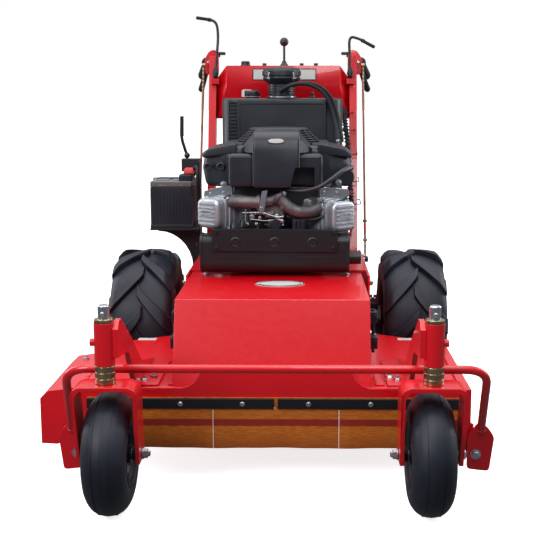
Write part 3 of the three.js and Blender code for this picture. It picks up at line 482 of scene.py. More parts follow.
def round_edges(bm, edge, steps):
    """Bevels the edges that are sharper than the facets of a round surface."""
    if edge <= 0:
        return
    sharp = [e for e in bm.edges if len(e.link_faces) == 2 and e.calc_face_angle(0) > math.radians(31)]
    if sharp:
        bmesh.ops.bevel(bm, geom=sharp, offset=edge, offset_type="OFFSET", segments=steps, profile=0.5,
                        affect="EDGES", clamp_overlap=True)


# ---- What repeats, grown by Geometry Nodes ----
class Grower:
    """A Geometry Nodes tree with named inputs, run on a small shell to repeat it."""

    def __init__(self, name, inputs):
        self.tree = bpy.data.node_groups.new(name, "GeometryNodeTree")
        sockets = self.tree.interface
        sockets.new_socket("Geometry", in_out="INPUT", socket_type="NodeSocketGeometry")
        self.names = {}
        for label, kind in inputs:
            self.names[label] = sockets.new_socket(label, in_out="INPUT", socket_type=kind).identifier
        self.names["Finish"] = sockets.new_socket("Finish", in_out="INPUT",
                                                  socket_type="NodeSocketMaterial").identifier
        sockets.new_socket("Geometry", in_out="OUTPUT", socket_type="NodeSocketGeometry")
        self.given = self.node("NodeGroupInput").outputs

    def node(self, kind, settings=None, inputs=None):
        return add_node(self.tree, kind, settings, inputs)

    def end(self, instances):
        """Every tree ends in real faces that carry their finish."""
        real = self.node("GeometryNodeRealizeInstances", None, {0: instances})
        painted = self.node("GeometryNodeSetMaterial", None,
                            {0: real.outputs[0], "Material": self.given["Finish"]})
        self.node("NodeGroupOutput", None, {0: painted.outputs[0]})

    def grow(self, into, seed, paint=None, **values):
        """Runs the tree on a seed mesh and adds the result to a form."""
        paint = paint or into.paint
        host = bpy.data.objects.new("seed", seed)
        bpy.context.scene.collection.objects.link(host)
        modifier = host.modifiers.new("grow", "NODES")
        modifier.node_group = self.tree
        for label, value in values.items():
            modifier[self.names[label.replace("_", " ").capitalize()]] = value
        modifier[self.names["Finish"]] = FINISHES[paint]
        grown = bpy.data.meshes.new_from_object(host.evaluated_get(bpy.context.evaluated_depsgraph_get()))
        host.modifiers.remove(modifier)
        into.take([v.co.copy() for v in grown.vertices], [list(p.vertices) for p in grown.polygons], paint)
        bpy.data.objects.remove(host)
        bpy.data.meshes.remove(grown)
        bpy.data.meshes.remove(seed)
        return into


def seed_mesh(form):
    """A form's shells as a bare mesh."""
    mesh = bpy.data.meshes.new("seed")
    mesh.from_pydata(form.corners, [], form.faces)
    return mesh


def row_tree():
    """Copies of the seed, each a step from the last."""
    grower = Grower("row_of_copies", [("Count", "NodeSocketInt"), ("Step", "NodeSocketVector")])
    given = grower.given
    line = grower.node("GeometryNodeMeshLine", {"mode": "OFFSET"},
                       {"Count": given["Count"], "Offset": given["Step"]})
    copies = grower.node("GeometryNodeInstanceOnPoints", None,
                         {"Points": line.outputs[0], "Instance": given["Geometry"]})
    grower.end(copies.outputs[0])
    return grower


def ring_tree():
    """Copies of the seed turned about an axis through a point."""
    inputs = [("Count", "NodeSocketInt"), ("Axis", "NodeSocketVector"), ("Centre", "NodeSocketVector"),
              ("Pitch", "NodeSocketFloat"), ("Start", "NodeSocketFloat")]
    grower = Grower("ring_of_copies", inputs)
    given = grower.given
    line = grower.node("GeometryNodeMeshLine", {"mode": "OFFSET"},
                       {"Count": given["Count"], "Offset": (0, 0, 0)})
    copies = grower.node("GeometryNodeInstanceOnPoints", None,
                         {"Points": line.outputs[0], "Instance": given["Geometry"]})
    index = grower.node("GeometryNodeInputIndex")
    turn = grower.node("ShaderNodeMath", {"operation": "MULTIPLY_ADD"},
                       {0: index.outputs[0], 1: given["Pitch"], 2: given["Start"]})
    spin = grower.node("FunctionNodeAxisAngleToRotation", None,
                       {"Axis": given["Axis"], "Angle": turn.outputs[0]})
    inputs = {0: copies.outputs[0], "Rotation": spin.outputs[0], "Pivot Point": given["Centre"]}
    turned = grower.node("GeometryNodeRotateInstances", None, inputs)
    turned.inputs["Local Space"].default_value = False
    grower.end(turned.outputs[0])
    return grower


def bolt_tree():
    """A hexagon head on its washer at each of the seed's points, along the way the point gives."""
    inputs = [("Across", "NodeSocketFloat"), ("Tall", "NodeSocketFloat"), ("Washer", "NodeSocketFloat"),
              ("Sides", "NodeSocketInt")]
    grower = Grower("bolts", inputs)
    given = grower.given

    def times(value, factor):
        return grower.node("ShaderNodeMath", {"operation": "MULTIPLY"}, {0: value, 1: factor}).outputs[0]

    def part(kind, inputs, height):
        shell = grower.node(kind, {"fill_type": "NGON"}, inputs)
        lift = grower.node("ShaderNodeCombineXYZ", None, {"Z": height})
        moved = grower.node("GeometryNodeTransform", None,
                            {0: shell.outputs[0], "Translation": lift.outputs[0]})
        return moved.outputs[0]

    radius = times(given["Across"], 0.577)
    washer = part("GeometryNodeMeshCylinder",
                  {"Vertices": 24, "Radius": times(given["Washer"], 0.5), "Depth": 1.6}, 0.8)
    shank = times(given["Tall"], 0.8)
    head = part("GeometryNodeMeshCylinder", {"Vertices": given["Sides"], "Radius": radius, "Depth": shank},
                times(given["Tall"], 0.4))
    crown_size = {"Vertices": given["Sides"], "Radius Bottom": radius, "Radius Top": times(radius, 0.8),
                  "Depth": times(given["Tall"], 0.2)}
    crown = part("GeometryNodeMeshCone", crown_size, shank)
    stub_size = {"Vertices": 16, "Radius": times(radius, 0.42), "Depth": times(given["Tall"], 1.3)}
    stub = part("GeometryNodeMeshCylinder", stub_size, times(given["Tall"], 0.65))
    whole = grower.node("GeometryNodeJoinGeometry")
    for shell in (washer, head, crown, stub):
        grower.tree.links.new(shell, whole.inputs[0])
    way = grower.node("GeometryNodeInputNamedAttribute", {"data_type": "FLOAT_VECTOR"}, {"Name": "way"})
    aim = grower.node("FunctionNodeAlignRotationToVector", {"axis": "Z"}, {"Vector": way.outputs[0]})
    copies = grower.node("GeometryNodeInstanceOnPoints", None, {
        "Points": given["Geometry"], "Instance": whole.outputs[0], "Rotation": aim.outputs[0]})
    grower.end(copies.outputs[0])
    return grower


ROW, RING, BOLTS = row_tree(), ring_tree(), bolt_tree()


def bolts(into, places, way, across=13.0, tall=8.0, washer=20.0, sides=6, paint=None):
    """Bolt heads at the places, pointing the way given."""
    mesh = bpy.data.meshes.new("places")
    mesh.from_pydata([Vector(p) for p in places], [], [])
    ways = mesh.attributes.new("way", "FLOAT_VECTOR", "POINT")
    for item in ways.data:
        item.vector = way
    return BOLTS.grow(into, mesh, paint, across=across, tall=tall, washer=washer, sides=sides)


def rows(into, seed, count, step, paint=None):
    """Adds copies of a seed, each a step from the last, to a form."""
    return ROW.grow(into, seed_mesh(seed), paint, count=count, step=Vector(step))


def rings(into, seed, count, axis, centre, start=0.0, pitch=None, paint=None):
    """Adds copies of a seed, turned about an axis, to a form."""
    pitch = 2 * math.pi / count if pitch is None else pitch
    return RING.grow(into, seed_mesh(seed), paint, count=count, axis=direction(axis), centre=Vector(centre),
                     pitch=pitch, start=start)


# ---- Pieces ----
SLOTS = {"badge_face": "black_plastic", "battery_lid": "black_plastic", "red_plastic": "black_plastic",
         "dark_steel": "steel", "warm_rod": "zinc_plate", "sooty_alloy": "cast_alloy"}


def piece(name, form, body, *replaced, sharp=38.0):
    """Makes one object of a form, in place, riding on a body and standing for CAD nodes."""
    mesh = bpy.data.meshes.new(name)
    mesh.from_pydata([ORIGIN + c / 1000 for c in form.corners], [], form.faces)
    paints = list(dict.fromkeys(form.paints))
    for paint in paints:
        mesh.materials.append(FINISHES[paint])
    mesh.polygons.foreach_set("material_index", [paints.index(p) for p in form.paints])
    bm = bmesh.new()
    bm.from_mesh(mesh)
    bmesh.ops.remove_doubles(bm, verts=bm.verts, dist=1e-6)
    bmesh.ops.recalc_face_normals(bm, faces=bm.faces)
    bmesh.ops.triangulate(bm, faces=[f for f in bm.faces if len(f.verts) > 4])
    bm.to_mesh(mesh)
    bm.free()
    mesh.polygons.foreach_set("use_smooth", [True] * len(mesh.polygons))
    mesh.set_sharp_from_angle(angle=math.radians(sharp))
    obj = bpy.data.objects.new(name, mesh)
    bpy.context.scene.collection.objects.link(obj)
    even = obj.modifiers.new("even shading", "WEIGHTED_NORMAL")
    even.keep_sharp = True
    if body:
        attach(obj, body)
    SLOTS.get(form.paint, form.paint)
    if replaced:
        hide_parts(*replaced)
    return obj


# ---- Driven wheels ----
def tread_bar(side, centre, radius, half):
    """One tread bar, which starts past the middle of the tread and falls back towards its shoulder."""
    bar = Form("tyre_rubber")
    stations = 14
    for i in range(stations + 1):
        share = i / stations
        across = -8 + (half + 4) * share
        turn = -0.52 * share ** 0.85
        drop = 20 * max(0.0, share - 0.82) / 0.18
        top = radius + 2.0 - 6 * share ** 2 - drop
        base = radius - 28 - 8 * share - drop * 0.6
        wide = (17 + 9 * share) / radius
        foot = wide + 8 / radius
        for angle, height in ((turn - foot, base), (turn - wide, top), (turn + wide, top),
                              (turn + foot, base)):
            bar.corners.append(centre + Vector((side * across, height * math.sin(angle),
                                                height * math.cos(angle))))
    for i in range(stations):
        for k in range(4):
            m = (k + 1) % 4
            bar.faces.append([4 * i + k, 4 * i + m, 4 * i + 4 + m, 4 * i + 4 + k])
    bar.faces += [[0, 1, 2, 3], [4 * stations + k for k in range(4)]]
    bm = bmesh.new()
    bm.from_mesh(seed_mesh(bar))
    bmesh.ops.recalc_face_normals(bm, faces=bm.faces)
    round_edges(bm, 3.4, 2)
    return Form("tyre_rubber").take_bmesh(bm)


def ridge(height, reach, face, tall=1.2):
    """The profile of a raised ring on a tyre's side wall."""
    return [(height - 2, face * (reach - 3)), (height - 1, face * (reach + tall)),
            (height + 1, face * (reach + tall)),
            (height + 2, face * (reach - 3)), (height - 2, face * (reach - 3))]


def drive_wheel(word, side):
    """A driven wheel: its carcass with tread bars, its dished disc and its nuts."""
    low, high = reach_of(f"{word}_drive_tyre")
    centre = (low + high) / 2
    radius, half = (high.z - low.z) / 2, (high.x - low.x) / 2
    body = f"{word}_drive_wheel"
    bead = 112
    crown = [(bead, half - 24), (bead + 8, half - 14), (bead + 30, half - 6), (bead + 60, half - 3),
             (radius - 38, half - 5),
             (radius - 26, half - 16), (radius - 20, half - 36), (radius - 17, half - 62), (radius - 16, 0)]
    profile = crown + [(r, -t) for r, t in reversed(crown[:-1])]
    carcass = Form("tyre_rubber").turned(profile + profile[:1], "x", centre, 96, 9)
    for face in (-1, 1):
        for reach, height in ((half - 8.5, bead + 20), (half - 4.5, bead + 44), (half - 4.0, bead + 62)):
            carcass.turned(ridge(height, reach, face), "x", centre, 96)
    count = 10
    for face in (-1, 1):
        start = math.pi / count if face > 0 else 0.0
        rings(carcass, tread_bar(face, centre, radius, half), count, "x", centre, start)
    piece(f"{word}_lugged_tyre", carcass, body, f"{word}_drive_tyre")

    rim, edge = 111.5, half - 22
    dish = [(0, 2), (19, 2), (19, -26), (32, -26), (34, -8), (74, -3), (90, -20), (101, -edge), (rim, -edge),
            (rim, 4 - edge), (106, 14 - edge), (105, 0), (106, edge - 14), (rim, edge - 4), (rim, edge),
            (101, edge),
            (90, 30), (80, 12), (40, 6), (36, 26), (0, 26)]
    shell = Form("red_paint").turned([(r, side * t) for r, t in dish], "x", centre, 64, 3)
    piece(f"{word}_wheel_disc", shell, body, f"{word}_drive_rim")
    nuts = Form("steel")
    ring = bolts(Form("steel"), [centre + Vector((side * 10, 0, 58))], (side, 0, 0), 19, 15, 24)
    rings(nuts, ring, 5, "x", centre)
    nuts.turned([(0, side * 25), (18, side * 25), (18, side * 29), (13, side * 32), (0, side * 32)], "x",
                centre, 24, 1.5)
    nuts.tube([centre + Vector((side * 40, 0, 84)), centre + Vector((side * 66, 0, 92))], 3.2, 0, 10)
    piece(f"{word}_wheel_nuts", nuts, body)


def wheel_motor(word, side):
    """The motor behind a driven wheel, with its flange bolts and ports."""
    low, high = reach_of(f"{word}_wheel_motor")
    y, z = (low.y + high.y) / 2, (low.z + high.z) / 2
    inner = low.x if side > 0 else high.x
    at = lambda reach: Vector((inner + side * reach, y, z))
    outwards = AXES["x"] * side
    motor = Form("black_paint")
    motor.turned([(0, 0), (60, 0), (60, 12), (46, 14), (46, 62), (30, 68), (24, 68), (18, 70), (18, 76),
                  (0, 76)], outwards, at(0), 48, 2)
    motor.turned([(0, 20), (50, 20), (50, 26), (0, 26)], outwards, at(0), 48, 1.2)
    motor.block(inner + side * 22, inner + side * 52, y - 26, y + 26, z + 36, z + 62, 4)
    piece(f"{word}_drive_motor", motor, "chassis", f"{word}_wheel_motor")
    fittings = Form("steel")
    ring = bolts(Form("steel"), [at(12) + Vector((0, 0, 53))], (side, 0, 0), 12, 8, 15)
    rings(fittings, ring, 8, "x", at(0))
    for reach in (30, 44):
        fittings.turned([(0, 0), (9, 0), (9, 12), (6, 14), (6, 22), (0, 22)], "z",
                        at(reach) + Vector((0, 0, 61)), 6, 0)
    piece(f"{word}_motor_fittings", fittings, "chassis")


for word, side in SIDES:
    drive_wheel(word, side)
    wheel_motor(word, side)


# ---- Casters ----
def caster_wheel(word, centre, radius, half):
    """A caster's ribbed tyre on its pressed rim."""
    body = f"{word}_caster_wheel"
    bead = 62
    wall = [(bead, half - 14), (bead + 6, half - 7), (bead + 22, half - 1.5), (bead + 44, half - 2),
            (radius - 14, half - 14), (radius - 4, half - 28), (radius, half - 44)]
    profile = wall + [(r, -t) for r, t in reversed(wall)]
    tyre = Form("tyre_rubber").turned(profile + profile[:1], "x", centre, 96, 12)
    for offset, height in ((-19, radius - 2.4), (0, radius), (19, radius - 2.4)):
        tyre.turned([(height - 3, offset - 1), (height + 0.5, offset - 0.6), (height + 0.5, offset + 0.6),
                     (height - 3, offset + 1), (height - 3, offset - 1)], "x", centre, 96)
    for face in (-1, 1):
        for height in (bead + 14, bead + 34):
            tyre.turned(ridge(height, half - 3.4, face), "x", centre, 96)
    piece(f"{word}_front_tyre", tyre, body, f"{word}_caster_tyre")

    hub, deep = half - 4, half - 14
    rim = Form("dark_steel").turned([
        (10.5, -hub), (22, -hub), (23, -12), (48, -9), (55, -deep), (61.6, -deep), (61.6, deep), (55, deep),
        (48, 9),
        (23, 12), (22, hub), (10.5, hub), (10.5, -hub)], "x", centre, 64, 2)
    for face in (-1, 1):
        ring = bolts(Form("steel"), [centre + Vector((face * 10, 0, 35))], (face, 0, 0), 11, 7, 15)
        rings(rim, ring, 5, "x", centre, paint="steel")
    piece(f"{word}_front_rim", rim, body, f"{word}_caster_rim")


def caster_fork(word, side, kingpin, centre):
    """One bent strap, whose legs lean back under a flat crown that holds the kingpin."""
    body = f"{word}_caster"
    fork = Form("red_paint").cad(f"{word}_caster_fork", 2.0, 3, keep=lambda bm: drop_above(bm, 318))
    piece(f"{word}_fork_strap", fork, body, f"{word}_caster_fork")
    top = reach_of(f"{word}_caster_fork")[1].z
    line = (kingpin.x, kingpin.y, 0)
    pin = Form("steel").turned([(0, 305), (12, 305), (12, top - 36), (13, top - 30), (13, top - 2.5),
                                (11, top), (0, top)], "z", line, 32, 1)
    pin.turned([(0, 0), (4.6, 0), (4.6, 3), (3, 4.6), (0, 4.8)], AXES["y"] * -1,
               (kingpin.x, kingpin.y - 13, top - 18), 20, 0.8)
    piece(f"{word}_kingpin", pin, body)
    collar = Form("zinc_plate")
    collar.turned([(12.2, top - 38.5), (21.5, top - 38.5), (21.5, top - 31), (18, top - 29.6),
                   (12.2, top - 29.6), (12.2, top - 38.5)], "z", line, 40, 0.9)
    piece(f"{word}_kingpin_collar", collar, body)

    inside, outside = 61.0, 72.5
    axle = Form("steel")
    out = AXES["x"] * side
    at = Vector((kingpin.x, centre.y, centre.z))
    axle.turned([(0, -inside), (10, -inside), (10, inside), (0, inside)], out, at, 24)
    for end in (1, -1):
        collar = [(10, end * 50), (17, end * 50), (17, end * (inside - 3)), (10, end * (inside - 3)),
                  (10, end * 50)]
        axle.turned(collar, out, at, 32, 0.8, paint="dark_steel")
        axle.turned([(0, end * outside), (13.5, end * outside), (13.5, end * (outside + 2)),
                     (0, end * (outside + 2))], out, at, 32, 0.5)
    axle.turned([(0, outside), (11.5, outside), (11.5, outside + 7), (9.5, outside + 9), (0, outside + 9)],
                out, at, 6)
    axle.turned([(0, -outside), (11, -outside), (11, -outside - 10), (9, -outside - 12), (7, -outside - 12),
                 (7, -outside - 16), (5.5, -outside - 17), (0, -outside - 17)], out, at, 6)
    piece(f"{word}_wheel_axle", axle, body, f"{word}_caster_axle")


def caster_arm(word, side, kingpin):
    """The arm that the kingpin turns in, with its weld and the spacer rings under it."""
    line = (kingpin.x, kingpin.y, 0)
    rings_low, rings_high = reach_of(f"{word}_caster_spacers")
    spacers = Form("zinc_plate")
    radius = 22.5
    tall = (rings_high.z - rings_low.z) / 3
    for i in range(3):
        z = rings_low.z + i * tall
        spacers.turned([(12.4, z + 0.2), (radius, z + 0.2), (radius, z + tall - 0.2), (12.4, z + tall - 0.2),
                        (12.4, z + 0.2)], "z", line, 40, 1.6)
    piece(f"{word}_spacer_rings", spacers, "chassis", f"{word}_caster_spacers")

    low, high = rings_high.z + 0.3, reach_of(f"{word}_caster_arm")[1].z - 2
    arm = Form("red_paint").cad(f"{word}_caster_arm", 1.3, 2)
    arm.turned([(12.6, low), (radius + 0.2, low), (radius + 0.2, high), (12.6, high), (12.6, low)], "z", line,
               48, 0.8)
    bead_line = [Vector((kingpin.x - side * 20.6, kingpin.y - 9.5, z)) for z in range(380, 441, 6)]
    arm.tube(bead_line, lambda share: 2.4 + 0.5 * math.sin(60 * share), 0, 8)
    piece(f"{word}_swivel_arm", arm, "chassis", f"{word}_caster_arm")


def drop_above(bm, height):
    """Leaves out what stands higher, and closes the cut."""
    cut = bmesh.ops.bisect_plane(bm, geom=bm.verts[:] + bm.edges[:] + bm.faces[:], plane_co=(0, 0, height),
                                 plane_no=(0, 0, 1), clear_outer=True)
    edges = [e for e in cut["geom_cut"] if isinstance(e, bmesh.types.BMEdge)]
    bmesh.ops.holes_fill(bm, edges=edges)


for word, side in SIDES:
    tyre_low, tyre_high = reach_of(f"{word}_caster_tyre")
    centre = (tyre_low + tyre_high) / 2
    kingpin = heart_of(f"{word}_caster_spacers")
    caster_wheel(word, centre, (tyre_high.z - tyre_low.z) / 2, (tyre_high.x - tyre_low.x) / 2)
    caster_fork(word, side, kingpin, centre)
    caster_arm(word, side, kingpin)


# ---- Engine ----
CRANK = heart_of("crank_pulley")
BANK = math.radians(42)


def bank_matrix(side):
    """From a cylinder drawn along -Y to its bank of the V."""
    return Matrix.Translation((0, CRANK.y, 0)) @ Matrix.Rotation(side * BANK, 4, "Z")


def rounded_square(half, tall, steps=40, power=0.42):
    """A superellipse: a lower power makes it squarer."""
    points = []
    for i in range(steps):
        turn = 2 * math.pi * (i + 0.5) / steps
        x, z = math.cos(turn), math.sin(turn)
        points.append((math.copysign(half * abs(x) ** power, x), math.copysign(tall * abs(z) ** power, z)))
    return points


def cylinder_bank(word, side):
    """One finned cylinder with its head, its ribbed cover and the screws of the cover."""
    low, high = reach_of(f"{word}_cylinder")
    z = (low.z + high.z) / 2
    local = Form("cast_alloy")
    local.block(-40, 40, -206, -140, z - 40, z + 40, 4)
    fin = Form("cast_alloy").plate([(x, z + t) for x, t in rounded_square(56, 50, 32, 0.3)], -168.8, -166.2,
                                   "y", 0.6, 1)
    rows(local, fin, 8, (0, -5.2, 0))
    local.block(-51, 51, -238, -205, z - 47, z + 47, 6)
    local.plate([(x, z + t) for x, t in rounded_square(50, 49)], -249, -237, "y", 2.5, 3)
    local.plate([(x, z + t) for x, t in rounded_square(46.5, 45.5)], -261, -247, "y", 2, 2)
    local.plate([(x, z + t) for x, t in rounded_square(43, 42)], -291.5, -258, "y", 10, 5)
    rib = Form("cast_alloy").plate([(x, z - 30 + t) for x, t in rounded_square(33, 3.2, 16, 0.6)], -294, -288,
                                   "y", 1, 2)
    rows(local, rib, 6, (0, 0, 11.6))
    local.plate([(x, z + 2 + t) for x, t in rounded_square(26, 10, 28, 0.5)], -294, -288, "y", 1.2, 2)
    screws = Form("steel")
    ring = [(x, -249, z + t) for x in (-44, 44) for t in (-42, 42)]
    bolts(screws, ring, (0, -1, 0), 9, 7, 14)
    fins = Form("cast_alloy").block(-54, 54, -236, -208, z + 44, z + 46.4, 0.5)
    rows(local, fins, 3, (0, 0, 2.2))
    turn = bank_matrix(side)
    for form in (local, screws):
        form.corners = [turn @ c for c in form.corners]
    piece(f"{word}_finned_cylinder", local, "chassis", f"{word}_cylinder", sharp=34)
    piece(f"{word}_cover_screws", screws, "chassis")


def manifold():
    """The intake runners and their flanges over the throttle body."""
    # The runners take the darker copy of the cast alloy.
    runner = Form("sooty_alloy")
    runner.tube([(-158, -318, 645), (-134, -372, 648), (-96, -402, 652), (-46, -404, 650)], 17.5, 26, 24, 8)
    runner.tube([(2, -404, 668), (20, -406, 652), (52, -410, 626), (94, -402, 622), (124, -372, 632),
                 (152, -318, 640)], 17, 24, 24, 8)
    runner.tube([(-50, -404, 650), (-8, -404, 656), (10, -404, 664)], 14, 10, 20, 4)
    for at, way in (((-47, -404, 650), (1, 0, 0)), ((6, -404, 664), (0.8, 0, -0.6)),
                    ((122, -374, 631), (0.55, 0.83, 0)), ((-133, -373, 648), (-0.5, 0.86, 0))):
        runner.turned([(0, -3.5), (23, -3.5), (23, 3.5), (0, 3.5)], Vector(way).normalized(), at, 32, 1.4)
    runner.block(-32, 24, -398, -330, 604, 650, 5)
    runner.block(-24, 18, -392, -336, 574, 606, 6)
    runner.block(-22, 16, -334, -296, 612, 646, 4)
    piece("intake_runner", runner, "chassis", "intake_manifold")


def throttle_linkage():
    """The plate, rods, springs and small screws in front of the throttle body."""
    linkage = Form("steel")
    linkage.plate([(-37, 684), (-22, 686), (-31, 628), (-47, 628)], -426, -423, "y", 0.8, 2)
    linkage.turned([(0, -4), (7, -4), (7, 4), (0, 4)], "y", (-38, -426, 634), 24, 0.8)
    linkage.tube([(-92, -410, 622), (-40, -414, 624), (6, -412, 610), (22, -410, 612)], 2.2, 8, 10)
    linkage.tube([(-70, -408, 604), (-30, -412, 600), (20, -408, 604)], 1.8, 8, 10)
    linkage.tube([(-84, -412, 632), (-84, -414, 596), (-76, -414, 590)], 2.4, 6, 10)
    for x, z, r in ((-66, 612, 8), (-44, 608, 6), (-20, 616, 7), (4, 612, 9), (18, 598, 7), (-54, 590, 6),
                    (-8, 590, 6)):
        linkage.turned([(0, 0), (r, 0), (r, -5), (r * 0.6, -8), (0, -8)], "y", (x, -402, z), 20, 1)
    spring = [Vector((-60 + 0.9 * i, -412 + 4.2 * math.cos(i * 1.05),
                      622 + 4.2 * math.sin(i * 1.05))) for i in range(58)]
    linkage.tube(spring, 0.9, 0, 6)
    bolts(linkage, [(-47, -409, 665), (-47, -409, 636), (24, -409, 676), (18, -412, 640)], (0, -1, 0), 9, 7,
          13)
    coil = [Vector((-30 + 1.4 * i, -404 - 3.5 * math.cos(i * 0.9),
                    588 + 3.5 * math.sin(i * 0.9))) for i in range(40)]
    linkage.tube(coil, 1.1, 0, 6)
    piece("throttle_linkage", linkage, "chassis")


def leads_and_hoses():
    """The lines that run round the throttle body, and what carries them."""
    black = Form("black_plastic")
    lead = [(-44, -396, 592), (-58, -404, 560), (-86, -406, 556), (-104, -406, 574), (-102, -404, 602),
            (-86, -402, 616)]
    black.tube(lead, 3.2, 16, 10, 8)
    black.tube([(20, -392, 688), (62, -420, 682), (112, -428, 690), (152, -412, 712), (188, -378, 738),
                (214, -340, 744)], lambda share: 5 + 3.2 * share, 30, 16, 8)
    black.tube([(30, -400, 612), (80, -396, 598), (130, -392, 606), (176, -372, 640), (214, -330, 676)], 4,
               30, 12, 8)
    black.block(46, 84, -404, -368, 562, 604, 4)
    for i in range(3):
        black.block(50 + 11 * i, 57 + 11 * i, -410, -402, 566, 600, 2)
    black.turned([(0, 0), (15, 0), (15, 12), (12, 16), (12, 24), (0, 24)], "y", (0, -412, 590), 24, 2)
    black.block(-120, 120, -336, -300, 566, 690, 6)
    piece("spark_leads_and_hoses", black, "chassis")


def shroud_brackets():
    """The steel brackets and bolts that hold the cowl."""
    plates = Form("steel")
    plates.plate([(-128, 694), (-128, 652), (-176, 658), (-206, 664), (-204, 678), (-176, 686)], -352, -349,
                 "y", 0.8, 2)
    plates.plate([(122, 690), (122, 636), (150, 636), (208, 668), (204, 684), (150, 688)], -356, -353, "y",
                 0.8, 2)
    plates.block(-128, -125, -352, -300, 652, 694, 0.8)
    plates.block(122, 125, -356, -300, 636, 690, 0.8)
    bolts(plates, [(-150, -352, 672), (-186, -352, 670)], (0, -1, 0), 9, 6, 14)
    bolts(plates, [(136, -356, 674), (136, -356, 656), (172, -356, 672)], (0, -1, 0), 9, 6, 14)
    bolts(plates, [(-150, -347, 697), (147, -347, 700), (178, -338, 702)], (0, -1, 0), 11, 9, 19)
    piece("shroud_brackets", plates, "chassis")


def muffler_box():
    """The exhaust box with its pressed shield, tail pipe and screws."""
    box = Form("black_paint")
    outline = [(-400, 451), (-342, 451), (-326, 466), (-326, 546), (-345, 558), (-405, 558), (-418, 548),
               (-420, 470)]
    soft = softened(outline, 12, 4)
    box.plate(soft, -212, 206, "x", 2, 3)
    grown = [(-373 + (y + 373) * 1.03, 505 + (z - 505) * 1.03) for y, z in soft]
    for x in (-213, 199):
        box.plate(grown, x, x + 8, "x", 2, 2)
    shield = [(-178, 516), (173, 514), (173, 576), (-60, 579), (-178, 578)]
    box.plate(shield, -426.5, -423.5, "y", 1.2, 2)
    box.plate([(-178, 578), (173, 576), (170, 572), (-175, 574)], -424, -398, "y", 1, 1)
    for x in (-112, -3, 104):
        rim = [(0, 3.2), (5, 2.8), (9.5, 0.6), (11, -1.0), (13, -1.0), (16, 1.0), (14, 4), (0, 4)]
        box.turned(rim, "y", (x, -426.8, 541), 32)
    for x in (-150, -2, 145):
        box.block(x - 10, x + 10, -424, -414, 518, 546, 1)
    for x in (-160, 60):
        box.plate([(x, 500), (x + 100, 500), (x + 100, 497), (x, 497)], -421, -418, "y", 1, 2)
    box.tube([(198, -370, 490), (240, -370, 490)], 18.5, 0, 32)
    box.turned([(12, 36), (18.5, 36), (18.5, 41), (12, 41), (12, 36)], "x", (200, -370, 490), 32, 1.5)
    piece("exhaust_box", box, "chassis", "muffler")
    studs = Form("dark_steel")
    bolts(studs, [(x, -426, z) for x in (-165, 160) for z in (526, 568)], (0, -1, 0), 9, 6, 14)
    piece("shield_screws", studs, "chassis")


def cowl():
    """The cooling shroud's body, its side caps and its cut-out nose."""
    body = Form("black_plastic")
    section = [(-205, 687), (212, 687), (218, 740), (212, 783), (182, 800), (130, 806), (-125, 806),
               (-174, 800), (-208, 783), (-215, 740)]
    front = [(x * 0.66, -345, z) for x, z in section]
    mid = [(x, -292, z) for x, z in section]
    rear = [(x * 0.97, -28, z) for x, z in section]
    body.hull(front + mid + rear, 15, 5)
    for outer, inner in ((-214, -112), (217, 118)):
        cap = [(outer, y, z) for y in (-300, -70) for z in (768, 784)]
        cap += [(outer * 0.9, y, 797) for y in (-314, -70)] + [(outer * 0.9, -320, 772)]
        cap += [(inner, y, z) for y in (-352, -70) for z in (782, 813)]
        body.hull(cap, 6, 4)
    wings = [Form("black_plastic").hull([(x, y, z) for x in ends for y in (-396, -300) for z in (691, 785)],
                                        11, 5)
             for ends in ((-132, -58), (60, 131))]
    for s, x in ((-1, -60), (1, 64)):
        body.hull([(x, -352, 786), (x, -300, 846), (x + s * 52, -318, 786), (x, -414, 786),
                   (x + s * 4, -404, 826),
                   (x, -300, 786), (x + s * 40, -250, 800)], 3, 3)
    nose = [(x, y, z) for x in (-64, 68) for y,
            z in ((-424, 692), (-424, 796), (-414, 830), (-396, 846), (-330, 853), (-300, 692))]
    shell = Form("black_plastic").hull(nose, 9, 5)
    opening = Form("black_plastic")
    opening.plate([(38, 680), (108, 680), (108, 748), (54, 748)], -440, -340, "y", 3, 2)
    for part in (shell, *wings):
        body.take(*carved(part, opening))
    for x, y, z, r in ((-157, -338, 747, 12), (-196, -314, 746, 11)):
        body.turned([(r - 5, 0), (r, 0), (r, -9), (r - 2, -11), (r - 5, -11), (r - 5, 0)], "y", (x, y, z), 28,
                    1)
        body.turned([(0, 0), (r - 5, 0), (r - 5, -4), (0, -4)], "y", (x, y, z), 28)
    body.turned([(0, 0), (27, 0), (27, 9), (22, 13), (0, 13)], Vector((0.45, -0.89, 0)), (196, -318, 716), 40,
                2)
    body.block(-150, -96, -300, -60, 800, 812, 5)
    body.block(100, 152, -300, -60, 800, 812, 5)
    return body


